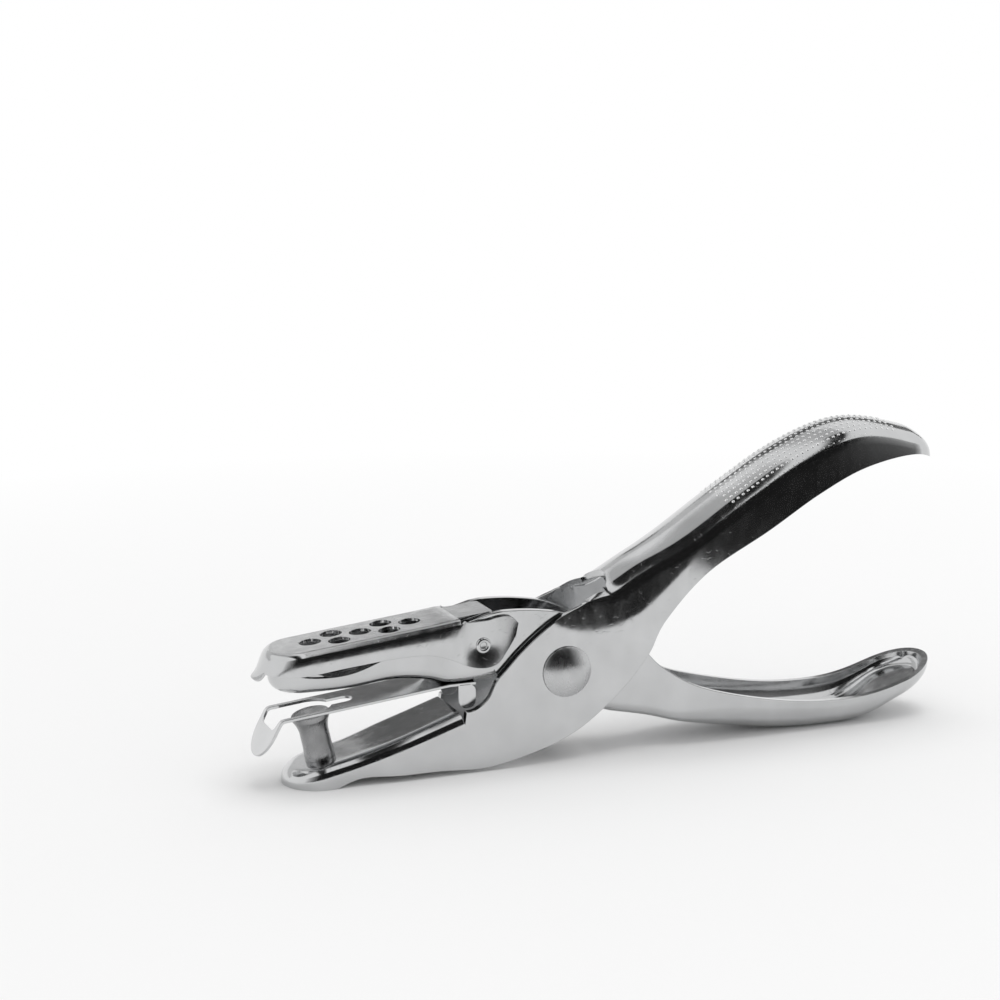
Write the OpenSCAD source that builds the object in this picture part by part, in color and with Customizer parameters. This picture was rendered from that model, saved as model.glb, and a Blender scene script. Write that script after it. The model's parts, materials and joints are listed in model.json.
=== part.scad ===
// Single hole punch of pressed steel: two channel levers on one rivet, a punch pin that
// enters a die hole, a spring strip that pushes the paper off the pin, and a hinged cover
// that keeps the chips. Lengths are in millimetres.
// X runs along the tool with the jaws at -X, Y lies along the rivet and Z is up. The tool
// stands on the lower jaw's nose and on the lower handle. Outlines are drawn from the rivet.

/* [Levers] */
// Thickness of the levers' sheet steel
sheet_t = 1.2; // [1:0.05:1.4]
// Width over the side plates of the inner lever
die_w = 10.8; // [10:0.1:12]
// Running gap between the inner and the outer side plates
plate_gap = 0.15; // [0.1:0.05:0.3]
// Height of the rivet's axis above the surface that the tool stands on
pivot_h = 16; // [15:0.1:18]
// Radius of the bends along the jaws
jaw_bend = 2.1; // [1.5:0.1:2.4]
// Radius of the bends along the upper handle
upper_bend = 3; // [2:0.1:3.6]
// Radius of the bends along the lower handle
lower_bend = 2; // [1.8:0.1:3]
// Width across the handles' open edges
handle_w = 15.6; // [14.6:0.2:17]
// Width across the handles' backs
handle_back_w = 14; // [13:0.2:15]
// Height of the gentle crown across the upper handle's back
handle_crown = 0.3; // [0:0.1:0.6]

/* [Lower jaw and upper handle] */
// Distance from the rivet to the lower jaw's nose
jaw_len = 48.6; // [46:0.2:49]
// Width of the lower jaw at its nose
jaw_nose_w = 12.4; // [11:0.2:13]
// Height of the lower jaw at the punch pin
jaw_nose_h = 4; // [3.6:0.1:5]
// Slope of the pad that the punch pin stands on, in degrees
pad_slope = 12; // [9:0.5:14]
// Distance from the rivet to the upper handle's tip, along X
upper_len = 73.4; // [70:0.2:90]
// Height of the upper handle's crest above the rivet
upper_rise = 39.1; // [37:0.1:41]

/* [Upper jaw and lower handle] */
// Distance from the rivet to the upper jaw's nose
die_len = 50.6; // [50:0.2:54]
// Distance from the rivet to the lower handle's tip
lower_len = 75; // [72:0.2:90]

/* [Rivet and spring] */
// Diameter of the rivet's shank
rivet_d = 5; // [4:0.1:5.4]
// Diameter of the rivet's domed heads
rivet_head_d = 8.8; // [7.6:0.1:10]
// Height of the rivet's domed heads
rivet_head_h = 1.6; // [1.2:0.1:2]
// Radial running clearance of the inner lever on the shank
rivet_clear = 0.05; // [0.02:0.01:0.08]
// Diameter of the return spring's wire
wire_d = 1; // [0.8:0.05:1.1]
// Mean diameter of the return spring's coil
coil_d = 7.4; // [7:0.1:8.4]
// Whole turns wound before the legs leave the coil
coil_turns = 4; // [3:1:4]
// Clear gap between the coil's turns
coil_gap = 0.5; // [0.45:0.05:0.55]

/* [Punch] */
// Diameter of the hole that the tool makes, which is the pin's cutting head
pin_d = 6.4; // [5:0.1:6.6]
// Height of the pin above the jaw
pin_h = 7.9; // [6.8:0.1:8.2]
// Diameter of the pin's waist
pin_waist_d = 4.9; // [4.4:0.1:5.4]
// Diameter of the pin's foot
pin_foot_d = 5.1; // [4.8:0.1:6.4]
// Diameter of the pin's staked tail
pin_tail_d = 4; // [3:0.1:4.4]
// Radial clearance between the pin's head and the die hole
die_clear = 0.15; // [0.12:0.01:0.25]

/* [Stripper] */
// Thickness of the spring strip
strip_t = 0.5; // [0.4:0.05:0.6]
// Width of the spring strip
strip_w = 9.4; // [9:0.1:10]
// Angle that the strip hangs away from the upper jaw, in degrees
strip_slope = 6; // [4:0.2:7]
// Length of the bent-down tongue
tongue_len = 6.8; // [5:0.2:8]
// Lean of the tongue forward from upright, in degrees
tongue_lean = 29; // [25:1:35]
// Clearance round the pin's head in the keyhole
keyhole_clear = 0.5; // [0.4:0.05:0.6]
// Width of the keyhole's narrow end
keyhole_w = 3.2; // [2.4:0.1:4]
// Depth of the two ears at the strip's rear
ear_h = 4; // [3:0.1:4.4]
// Diameter of the rivet that holds the strip
strip_rivet_d = 2.4; // [2:0.1:3]

/* [Chip cover] */
// Thickness of the cover's sheet
cover_t = 0.6; // [0.5:0.05:0.8]
// Gap between the cover and the upper jaw
cover_gap = 0.1; // [0.08:0.02:0.2]
// Distance that the cover's edges stand out from its top on each side
cover_flare = 0.3; // [0.1:0.05:0.4]
// Diameter of the cover's holes
vent_d = 3.7; // [2.6:0.1:3.8]
// Distance from one hole to the next along a row
vent_pitch = 8.7; // [8:0.1:9]
// Distance from the middle row of holes to the outer rows
vent_row = 2.3; // [2.2:0.1:2.8]
// Diameter of the pressed nubs that the cover swings on
nub_d = 2.4; // [2:0.1:3]
// Radial clearance of the nubs in the upper jaw
nub_clear = 0.06; // [0.04:0.01:0.1]
// Width of the lip that a nail lifts
lip_w = 4.4; // [3:0.2:6]

/* [Hidden] */
$fn = 48;
steel = "#c4c6c9";
dark_steel = "#8d9094";

die_half = die_w / 2;
plate_in = die_half + plate_gap;
plate_half = plate_in + sheet_t;
foot = -pivot_h;
rim_trim = 0.3;
upper_half = handle_w / 2;
upper_back = handle_back_w / 2;
lower_half = handle_w / 2 - 0.2;
lower_back = handle_back_w / 2 + 0.1;

// Bends of a pressed channel: facets round each bend, points from an edge to the middle and
// right across, and stations round each closed end
ARC = 3;
HALF = ARC + 2;
ACROSS = 2 * HALF + 1;
END_STEPS = 5;

// The pad under the pin and the pin itself, which stands square to the pad
nose_half = jaw_nose_w / 2;
nose_x = nose_half - jaw_len;
pin_foot = [nose_x + 0.4, foot + jaw_nose_h];
pin_dir = [-sin(pad_slope), cos(pad_slope)];
pin_top = pin_foot + pin_h * pin_dir;
function pad_z(x) = pin_foot.y + (x - pin_foot.x) * tan(pad_slope);

// Directions in the side view: a unit vector at an angle, and the angle of a point
function heading(angle) = [cos(angle), sin(angle)];
function bearing(p) = atan2(p.y, p.x);

// The flat under the upper jaw that the strip is riveted to, the strip's fold and its tongue
seat_z = -0.65;
seat_front = -20.5;
seat_rear = -15.8;
strip_rivet_x = -18.2;
fold_r = 0.8;
slot_x = pin_top.x - 0.1;
keyhole_len = 5.8;
strip_fold = slot_x - pin_d / 2 - keyhole_clear - 1.8;
strip_fold_z = seat_z + (strip_fold - seat_front) * tan(strip_slope);
fold_c = [strip_fold, strip_fold_z] - (fold_r + strip_t) * heading(90 + strip_slope);
slot_front = strip_fold - 1.7;
slot_corner = 1.2;
tongue_top = fold_c + (fold_r + strip_t) * heading(180 - tongue_lean);
tongue_tip = tongue_top + tongue_len * heading(270 - tongue_lean);

// The die hole stands where the swinging pin meets the upper jaw
die_face_z = 0.35;
die_x = -sqrt(pow(norm(pin_top), 2) - pow(die_face_z, 2));

// The cover's hinge, and the plane of its top
hinge = [-15, 5.9];
cover_half = die_half + cover_gap + cover_t;
cover_nose = die_len + cover_gap + cover_t + 0.7;
cover_shoulder = cover_half - cover_nose;
cover_slope = 6.1;
cover_rear_z = 10.5;
cover_rear = -18.8;
tongue_rear = -12.4;
tongue_half = die_half - sheet_t - 0.3;
function cover_z(x) = cover_rear_z + (x - cover_rear) * tan(cover_slope);
vent_x = hinge.x - 11;
cover_bend = 1.1;

// The lip at the cover's nose
lip_z = 3.9;
lip_angle = 42;
lip_root = 0.5;
lip_len = 2.3;
lip_r = 1;

// The frame's origin is under the middle of the whole tool
front_reach = -tongue_tip.x;
pivot_x = (front_reach - lower_len) / 2;

// Rows along the levers: open edge (x, z), back (x, z), half width at the edge and at the back.
// The lower jaw from its nose, the side plate, then the upper handle. The rim of the nose is drawn
// too low by rim_trim, and is cut flat on the surface that the tool stands on.
upper_end = upper_len - 73.4;
mid_end = upper_end / 2;
upper_lift = upper_rise - 39.1;
mid_lift = upper_lift / 2;
punch_rows = [
    [-jaw_len, foot - rim_trim, -jaw_len, pad_z(-jaw_len), nose_half, nose_half],
    [nose_x, foot - rim_trim, nose_x, pad_z(nose_x), nose_half, nose_half],
    [-36.8, foot + 1.3, -36.8, pad_z(-36.8), nose_half, nose_half],
    [-29.9, foot + 1.1, -29.8, -8.8, plate_half, plate_half],
    [-23, foot + 1, -24.4, -7.1, plate_half, plate_half],
    [-16.5, foot + 0.6, -19.1, -5.4, plate_half, plate_half],
    [-13.2, foot + 0.8, -16.6, -4.9, plate_half, plate_half],
    [-9.6, foot + 1.4, -14.3, -3.2, plate_half, plate_half],
    [-5.5, foot + 2.4, -12.8, -0.4, plate_half, plate_half],
    [-1.6, foot + 3.6, -11, 1.5, plate_half, plate_half],
    [2.6, foot + 5.6, -8.2, 4.3, plate_half, plate_half],
    [6, -8.1, -4.5, 7.3, plate_half, plate_half],
    [9, -5.7, -0.8, 9.7, plate_half, plate_half],
    [12, -2.8, 3.6, 11.5, plate_half, plate_half],
    [14.4, 0, 5, 15.4, plate_half, plate_half],
    [16, 2.2, 9.5, 14.7, plate_half, plate_half],
    [18.8, 7.2, 13.8, 16.8, plate_half, plate_half],
    [26.3, 15 + upper_lift / 4, 21.9, 21.4 + upper_lift / 4, upper_half - 0.4, upper_back],
    [38 + mid_end, 21.6 + mid_lift, 33.3 + mid_end, 28.9 + mid_lift, upper_half, upper_back],
    [47.8 + upper_end, 27.3 + upper_lift, 44.9 + upper_end, 35.5 + upper_lift, upper_half, upper_back],
    [57 + upper_end, 31.4 + upper_lift, 56.4 + upper_end, upper_rise, upper_half, upper_back],
    [67 + upper_end, 33.2 + upper_lift, 67.2 + upper_end, 37.6 + upper_lift, upper_half, upper_back],
    [upper_len, 31.6 + upper_lift, upper_len, 34.4 + upper_lift, upper_half, upper_back]];
punch_spine_end = 5;
punch_spine_start = 14;
// Side view of the cut that shapes the front of the upper handle's back
back_front = [[3.4, 11.45], [7.2, 12.8], [7.9, 13.4], [8.7, 18], [1, 18]];

// The upper jaw from its nose, the inner side plate, then the lower handle
lower_end = lower_len - 75;
die_rows = [
    [-die_len, 5, -die_len, die_face_z, die_half, die_half],
    [die_half - die_len, 3.2, die_half - die_len, die_face_z, die_half, die_half],
    [-38, 3.2, -38, die_face_z, die_half, die_half],
    [-30.5, 5.8, -30.5, die_face_z + 0.7, die_half, die_half],
    [-24.6, 8.4, -24.6, seat_z + 1.1, die_half, die_half],
    [seat_front, 9.3, seat_front, seat_z, die_half, die_half],
    [seat_rear, 10.4, seat_rear, seat_z, die_half, die_half],
    [-13, 11.1, -12.8, seat_z, die_half, die_half],
    [-9.9, 11.3, -9.5, -1.9, die_half, die_half],
    [-4.8, 10.9, -5.4, -5.2, die_half, die_half],
    [0.6, 9.8, 0.4, -7.2, die_half, die_half],
    [6, 7.3, 6.4, -7.9, die_half, die_half],
    [10.8, 4.7, 9.4, -8.8, die_half, die_half],
    [15.3, 1.8, 13.5, -9.7, die_half, die_half],
    [18.6, -1.4, 17.6, -10.7, die_half + 0.1, die_half],
    [24.2, -4.9, 23.2, -12.2, lower_half - 0.7, lower_back - 0.5],
    [31.5, -7.3, 30.6, foot + 2.2, lower_half, lower_back],
    [41.5, -9.5, 41, foot + 0.5, lower_half, lower_back],
    [50 + lower_end, -10.5, 50 + lower_end, foot, lower_half, lower_back],
    [59 + lower_end, -10.4, 59.4 + lower_end, foot + 0.5, lower_half, lower_back],
    [67 + lower_end, -8.6, 67 + lower_end, foot + 3.9, lower_half, lower_back],
    [lower_len, -5.5, lower_len, -8.7, lower_half, lower_back]];
die_spine_end = 7;
die_spine_start = 11;

// The cover from its nose, then the two ears that carry its hinge
cover_edge = cover_half + cover_flare;
cover_rows = [
    [-cover_nose - 0.5, 3.8, 0.9 - cover_nose, cover_z(0.9 - cover_nose), cover_edge, cover_half],
    [cover_shoulder, 3.8, cover_shoulder, cover_z(cover_shoulder), cover_edge, cover_half],
    [-39.3, 4.5, -39.3, cover_z(-39.3), cover_edge, cover_half],
    [-29.8, 5.3, -29.8, cover_z(-29.8), cover_edge, cover_half],
    [-24.4, 5.1, -23.6, cover_z(-23.6), cover_edge, cover_half],
    [-20.7, 4, cover_rear, cover_rear_z, cover_edge, cover_half],
    [-17.5, 2.5, -17.6, 10.1, cover_edge, cover_half],
    [-14.7, 2, -14.2, 10.2, cover_edge, cover_half],
    [-12.4, 2.6, -11.8, 10.6, cover_edge, cover_half],
    [-10.8, 4.6, -9.9, 10.4, cover_edge, cover_half],
    [-9.2, 7, -8.6, 9.2, cover_edge, cover_half]];
cover_spine_end = 5;

// Rows where the return spring's legs bear, and the place of a leg against the back of a row
spring_upper_row = 16;
spring_lower_row = 13;
leg_seat = sheet_t + wire_d / 2 + 0.1;
function seat_in(r) =
    let (back = [r[2], r[3]], edge = [r[0], r[1]])
    back + leg_seat * (edge - back) / norm(edge - back);

// The return spring's middle line: a leg from the upper handle, the coil, a leg to the lower handle
spring_r = coil_d / 2;
coil_pitch = wire_d + coil_gap;
upper_seat = seat_in(punch_rows[spring_upper_row]);
lower_seat = seat_in(die_rows[spring_lower_row]);
upper_lead = asin(spring_r / norm(upper_seat));
lower_lead = asin(spring_r / norm(lower_seat));
coil_from = bearing(upper_seat) - upper_lead + 90;
coil_to = bearing(lower_seat) + lower_lead - 90 + 360 * coil_turns;
coil_rings = ceil((coil_to - coil_from) / 15);
coil_width = coil_pitch * (coil_to - coil_from) / 360;
spring_line = concat(
    [[upper_seat.x, -coil_width / 2, upper_seat.y]],
    [for (i = [0 : coil_rings])
        let (p = spring_r * heading(coil_from + (coil_to - coil_from) * i / coil_rings))
        [p.x, coil_width * (i / coil_rings - 0.5), p.y]],
    [[lower_seat.x, coil_width / 2, lower_seat.y]]);
spring_gap = min([for (i = [0 : coil_rings - 12]) for (k = [i + 12 : coil_rings])
    norm(spring_line[i + 1] - spring_line[k + 1])]) - wire_d;
echo(least_gap_between_spring_turns = spring_gap);

// A smooth curve through the rows of a table, at row number u
function row(rows, i) =
    let (last = len(rows) - 1)
    i < 0 ? 2 * rows[0] - rows[1] : i > last ? 2 * rows[last] - rows[last - 1] : rows[i];
function along(rows, u) =
    let (i = min(floor(u), len(rows) - 2), f = u - i)
    let (a = row(rows, i - 1), b = row(rows, i), c = row(rows, i + 1), d = row(rows, i + 2))
    b + f * ((c - a) / 2 + f * ((2 * a - 5 * b + 4 * c - d) / 2 + f * (3 * (b - c) + d - a) / 2));

// Stations along a channel: [row number, angle round a closed end, direction of that end,
// whether the back is open, radius of the bends, height of the crown]
function end_angle(i) = 90 * (i + 0.5) / END_STEPS;
function nose_stations(bend) =
    [for (i = [END_STEPS - 1 : -1 : 0]) [1, end_angle(i), -1, false, bend, 0]];
function tip_stations(rows, bend, crown) =
    [for (i = [0 : END_STEPS - 1]) [len(rows) - 2, end_angle(i), 1, false, bend, crown]];
function run_stations(first, last, steps, bend, crown) =
    [for (i = [0 : steps * (last - first)]) [first + i / steps, 0, 0, false, bend, crown]];
function open_stations(first, last, steps) =
    [for (i = [0 : steps * (last - first)]) [first + i / steps, 0, 0, true, 0, 0]];

// Length in plan of the closed end that a station belongs to
function end_len(rows, station) =
    station[2] < 0 ? abs(rows[1][0] - rows[0][0])
    : station[2] > 0 ? abs(rows[len(rows) - 1][0] - rows[len(rows) - 2][0]) : 1;

// One point of a channel: j counts across from one edge to the other, depth is 0 on the
// outside and the sheet's thickness on the inside
function channel_point(rows, station, j, depth) =
    let (k = j <= HALF ? j : 2 * HALF - j)
    let (foremost = k == HALF && station[1] == end_angle(END_STEPS - 1))
    let (reach = station[2] * sin(foremost ? 90 : station[1]))
    let (tip = along(rows, station[0] + reach))
    let (tip_h = norm([tip[2] - tip[0], tip[3] - tip[1]]))
    let (r = station[3] ? 0 : min(station[4], 0.75 * tip_h))
    let (a = 90 * (max(k, 1) - 1) / ARC)
    let (inset = k == 0 ? depth : r - (r - depth) * cos(min(a, 90)))
    let (p = along(rows, station[0] + reach * (1 - inset / end_len(rows, station))))
    let (edge = [p[0], p[1]], back = [p[2], p[3]])
    let (h = norm(back - edge))
    let (rise = k == 0 ? 0 : k == HALF ? h - depth + station[5] : h - r + (r - depth) * sin(a))
    let (q = edge + (back - edge) / h * rise)
    let (w = (p[4] + (p[5] - p[4]) * rise / h - inset) * cos(station[1]))
    [q.x, k == HALF ? 0 : j < HALF ? -w : w, q.y];

// A pressed channel as one closed sheet. Where a station is open, the back is left out.
module channel(rows, stations, thick, closed_tip, back_below) {
    count = len(stations);
    last = count - 1;
    side = count * ACROSS;
    points = [for (depth = [0, thick]) for (s = stations) for (j = [0 : ACROSS - 1])
        channel_point(rows, s, j, depth)];
    function at(i, j) = i * ACROSS + j;
    function filled(i, j) =
        i >= 0 && i < last && j >= 0 && j < ACROSS - 1
        && (j == 0 || j == ACROSS - 2 || !(stations[i][3] || stations[i + 1][3]));
    function skin(a, b, c, d) =
        [[a, b, c], [a, c, d], [side + a, side + c, side + b], [side + a, side + d, side + c]];
    function wall(p, q) = [[q, p, side + p], [q, side + p, side + q]];
    function cell(i, j) = concat(
        skin(at(i, j), at(i, j + 1), at(i + 1, j + 1), at(i + 1, j)),
        filled(i - 1, j) || i == 0 ? [] : wall(at(i, j), at(i, j + 1)),
        filled(i + 1, j) || (i == last - 1 && closed_tip) ? [] : wall(at(i + 1, j + 1), at(i + 1, j)),
        filled(i, j + 1) ? [] : wall(at(i, j + 1), at(i + 1, j + 1)),
        filled(i, j - 1) ? [] : wall(at(i + 1, j), at(i, j)));
    function cap(i, j) =
        let (a = at(i, j), b = at(i, j + 1), c = at(i, ACROSS - 2 - j), d = at(i, ACROSS - 1 - j))
        let (quad = i == 0 ? [b, a, d, c] : [a, b, c, d])
        [for (f = skin(quad[0], quad[1], quad[2], quad[3]))
            if (f[0] != f[1] && f[1] != f[2] && f[2] != f[0]) f];
    faces = concat(
        [for (i = [0 : last - 1]) for (j = [0 : ACROSS - 2]) if (filled(i, j)) each cell(i, j)],
        [for (j = [0 : HALF - 1]) each cap(0, j)],
        wall(at(0, 0), at(0, ACROSS - 1)),
        closed_tip ? [for (j = [0 : HALF - 1]) each cap(last, j)] : [],
        closed_tip ? wall(at(last, ACROSS - 1), at(last, 0)) : []);
    polyhedron(points, back_below ? [for (f = faces) [f[0], f[2], f[1]]] : faces, convexity = 8);
}

// A round wire along a line of points, as one closed tube
module tube(line, d, sides) {
    last = len(line) - 1;
    function run(i) = let (v = line[min(i + 1, last)] - line[max(i - 1, 0)]) v / norm(v);
    function ring(i) =
        let (t = run(i))
        let (a = cross(t, [0, 1, 0]))
        let (u = a / norm(a), v = cross(t, u))
        [for (k = [0 : sides - 1]) line[i] + d / 2 * (u * cos(360 * k / sides) + v * sin(360 * k / sides))];
    points = concat([line[0]], [for (i = [0 : last]) each ring(i)], [line[last]]);
    function at(i, k) = 1 + i * sides + k % sides;
    faces = concat(
        [for (k = [0 : sides - 1]) [0, at(0, k), at(0, k + 1)]],
        [for (i = [0 : last - 1]) for (k = [0 : sides - 1])
            each [[at(i, k), at(i + 1, k), at(i + 1, k + 1)], [at(i, k), at(i + 1, k + 1), at(i, k + 1)]]],
        [for (k = [0 : sides - 1]) [len(points) - 1, at(last, k + 1), at(last, k)]]);
    polyhedron(points, faces, convexity = 10);
}

// Stands a part drawn from the rivet in the tool's frame
module placed() {
    translate([pivot_x, 0, pivot_h]) children();
}

// A cylinder along Y through both sides at a point (x, z)
module cross_bore(p, d, length) {
    translate([p.x, 0, p.y]) rotate([90, 0, 0]) cylinder(d = d, h = length, center = true);
}

// A low dome that stands on Z = 0
module dome(d, h) {
    ball = (d * d / 4 + h * h) / (2 * h);
    intersection() {
        translate([0, 0, h - ball]) sphere(r = ball);
        cylinder(d = d + 1, h = h + 1);
    }
}

// Stands what is drawn along Z on the pad under the pin
module on_pad() {
    translate([pin_foot.x, 0, pin_foot.y]) rotate([0, -pad_slope, 0]) children();
}

module punch_lever() {
    stations = concat(
        nose_stations(jaw_bend),
        run_stations(1, punch_spine_end, 2, jaw_bend, 0),
        open_stations(punch_spine_end + 0.25, punch_spine_start - 0.75, 2),
        run_stations(punch_spine_start, len(punch_rows) - 2, 3, upper_bend, handle_crown),
        tip_stations(punch_rows, upper_bend, handle_crown));
    color(steel) placed() difference() {
        channel(punch_rows, stations, sheet_t, true, false);
        cross_bore([0, 0], rivet_d, 3 * plate_half);
        on_pad() cylinder(d = pin_tail_d, h = 4 * sheet_t, center = true);
        rotate([90, 0, 0]) linear_extrude(3 * plate_half, center = true) polygon(back_front);
        translate([-jaw_len - 1, -plate_half - 1, foot - 2]) cube([jaw_len, 2 * plate_half + 2, 2]);
    }
}

module die_lever() {
    stations = concat(
        nose_stations(jaw_bend),
        run_stations(1, die_spine_end, 2, jaw_bend, 0),
        open_stations(die_spine_end + 0.5, die_spine_start - 0.5, 2),
        run_stations(die_spine_start, len(die_rows) - 2, 3, lower_bend, 0),
        tip_stations(die_rows, lower_bend, 0));
    color(steel) placed() difference() {
        channel(die_rows, stations, sheet_t, true, true);
        cross_bore([0, 0], rivet_d + 2 * rivet_clear, 3 * plate_half);
        cross_bore(hinge, nub_d + 2 * nub_clear, 3 * plate_half);
        translate([die_x, 0, die_face_z])
            cylinder(d = pin_d + 2 * die_clear, h = 4 * sheet_t, center = true);
        translate([strip_rivet_x, 0, seat_z]) cylinder(d = strip_rivet_d, h = 4 * sheet_t, center = true);
        translate([seat_front, -die_half, seat_z - 1]) cube([seat_rear - seat_front, die_w, 1]);
    }
}

module pivot_rivet() {
    color(steel) placed() rotate([90, 0, 0]) {
        cylinder(d = rivet_d, h = 2 * plate_half, center = true);
        for (side = [0, 1]) mirror([0, 0, side])
            translate([0, 0, plate_half]) dome(rivet_head_d, rivet_head_h);
    }
}

module punch_pin() {
    head_h = 0.9;
    foot_h = 1;
    tail_head_d = pin_tail_d + 1.4;
    color(dark_steel) placed() on_pad() {
        difference() {
            rotate_extrude() polygon([
                [0, -sheet_t], [pin_tail_d / 2, -sheet_t], [pin_tail_d / 2, 0], [pin_foot_d / 2, 0],
                [pin_foot_d / 2, foot_h], [pin_waist_d / 2, foot_h + 1.2],
                [pin_waist_d / 2, pin_h - head_h - 1.6], [pin_d / 2, pin_h - head_h],
                [pin_d / 2, pin_h], [0, pin_h]]);
            translate([0, 0, pin_h + 9.4]) sphere(r = 10, $fn = 96);
        }
        translate([0, 0, -sheet_t]) mirror([0, 0, 1]) dome(tail_head_d, 0.8);
    }
}

// Side view of the strip: flat seat, sloping run, fold and tongue
module strip_profile() {
    fold_steps = 6;
    fold_angle = 90 - strip_slope - tongue_lean;
    function fold_arc(r, n) =
        [for (i = [0 : n]) fold_c + r * heading(90 + strip_slope + fold_angle * i / n)];
    top = concat(
        [[seat_rear, seat_z], [seat_front, seat_z]],
        fold_arc(fold_r + strip_t, fold_steps), [tongue_tip]);
    bottom = concat(
        [[seat_rear, seat_z - strip_t], [seat_front - strip_t * tan(strip_slope / 2), seat_z - strip_t]],
        fold_arc(fold_r, fold_steps), [tongue_tip + strip_t * heading(-tongue_lean)]);
    polygon(concat(top, [for (i = [len(bottom) - 1 : -1 : 0]) bottom[i]]));
}

// Outline of the keyhole that the pin passes through, seen from above
module keyhole() {
    head_half = pin_d / 2 + keyhole_clear;
    translate([slot_x, 0]) circle(r = head_half);
    corner_x = slot_front + slot_corner;
    corner_y = head_half - slot_corner;
    translate([corner_x, -head_half]) square([slot_x - corner_x, 2 * head_half]);
    translate([slot_front, -corner_y]) square([slot_x - slot_front, 2 * corner_y]);
    for (side = [-1, 1]) translate([corner_x, side * corner_y]) circle(r = slot_corner);
    translate([slot_x, -keyhole_w / 2]) square([keyhole_len, keyhole_w]);
    translate([slot_x + keyhole_len, 0]) circle(d = keyhole_w);
}

module stripper_plate() {
    ear_r = 1;
    ear_w = 3;
    color(steel) placed() {
        difference() {
            rotate([90, 0, 0]) linear_extrude(strip_w, center = true) strip_profile();
            translate([0, 0, strip_fold_z - 5]) linear_extrude(10) keyhole();
            translate([strip_rivet_x, 0, seat_z]) cylinder(d = strip_rivet_d, h = 4, center = true);
            translate([tongue_tip.x, 0, tongue_tip.y]) rotate([0, 90 + tongue_lean, 0])
                linear_extrude(6 * strip_t, center = true) difference() {
                    translate([-strip_w / 2, -strip_w]) square([strip_w, 2 * strip_w]);
                    translate([-strip_w / 2, 0]) circle(d = strip_w);
                }
        }
        for (side = [-1, 1])
            translate([seat_rear - ear_w, side * (strip_w - strip_t) / 2, seat_z - strip_t])
            rotate([90, 0, 0]) linear_extrude(strip_t, center = true) {
                translate([0, ear_r - ear_h]) square([ear_w, ear_h - ear_r + strip_t / 2]);
                translate([ear_r, -ear_h]) square([ear_w - 2 * ear_r, ear_h]);
                for (x = [ear_r, ear_w - ear_r]) translate([x, ear_r - ear_h]) circle(r = ear_r);
            }
    }
}

module stripper_rivet() {
    grip = sheet_t + strip_t;
    head_d = strip_rivet_d + 1.8;
    color(dark_steel) placed() translate([strip_rivet_x, 0, seat_z - strip_t]) {
        cylinder(d = strip_rivet_d, h = grip);
        translate([0, 0, grip]) dome(head_d, 0.8);
        mirror([0, 0, 1]) dome(head_d, 0.8);
    }
}

module return_spring() {
    color(dark_steel) placed() tube(spring_line, wire_d, 6);
}

module chip_cover() {
    stations = concat(
        nose_stations(cover_bend),
        run_stations(1, cover_spine_end, 2, cover_bend, 0),
        open_stations(cover_spine_end + 0.5, len(cover_rows) - 1, 2));
    nub_len = cover_half - die_half + sheet_t - cover_t / 2;
    dish_r = 4;
    dish_depth = 0.25;
    color(steel) placed() {
        difference() {
            union() {
                channel(cover_rows, stations, cover_t, false, false);
                translate([cover_rear, 0, cover_rear_z]) rotate([0, -cover_slope, 0])
                    translate([-1, -tongue_half, -cover_t])
                        cube([tongue_rear - cover_rear + 1, 2 * tongue_half, cover_t]);
            }
            for (i = [0 : 2]) vent(vent_x - i * vent_pitch, 0);
            for (i = [0 : 1]) for (side = [-1, 1]) vent(vent_x - (i + 0.5) * vent_pitch, side * vent_row);
            for (side = [-1, 1])
                translate([hinge.x, side * (cover_half + dish_r - dish_depth), hinge.y]) sphere(r = dish_r);
        }
        for (side = [-1, 1]) translate([hinge.x, side * (cover_half - cover_t / 2), hinge.y])
            rotate([side * 90, 0, 0]) cylinder(d = nub_d, h = nub_len);
        translate([-cover_nose, 0, lip_z]) rotate([0, -lip_angle, 0])
            linear_extrude(cover_t, center = true) {
            translate([lip_root - lip_len, -lip_w / 2 + lip_r]) square([lip_len, lip_w - 2 * lip_r]);
            translate([lip_root - lip_len + lip_r, -lip_w / 2]) square([lip_len - lip_r, lip_w]);
            for (side = [-1, 1])
                translate([lip_root - lip_len + lip_r, side * (lip_w / 2 - lip_r)]) circle(r = lip_r);
        }
    }
}

// One of the round holes through the cover's top
module vent(x, y) {
    translate([x, y, cover_z(x)]) rotate([0, -cover_slope, 0]) cylinder(d = vent_d, h = 6, center = true);
}

punch_lever();
die_lever();
pivot_rivet();
return_spring();
punch_pin();
stripper_plate();
stripper_rivet();
chip_cover();
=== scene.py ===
"""Looks of a single hole punch of chromed pressed steel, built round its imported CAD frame.

Lengths are in millimetres from the rivet, as in the part's own source, and go to metres in the
row frame when a mesh is made. The stage and the camera are in metres. The sheet parts follow
the CAD's own surfaces at a finer step, with rounder handles and rounded sheet edges.
"""

import json
import math

import bmesh
import bpy
import numpy as np
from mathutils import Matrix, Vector
from numpy.linalg import norm


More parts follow.
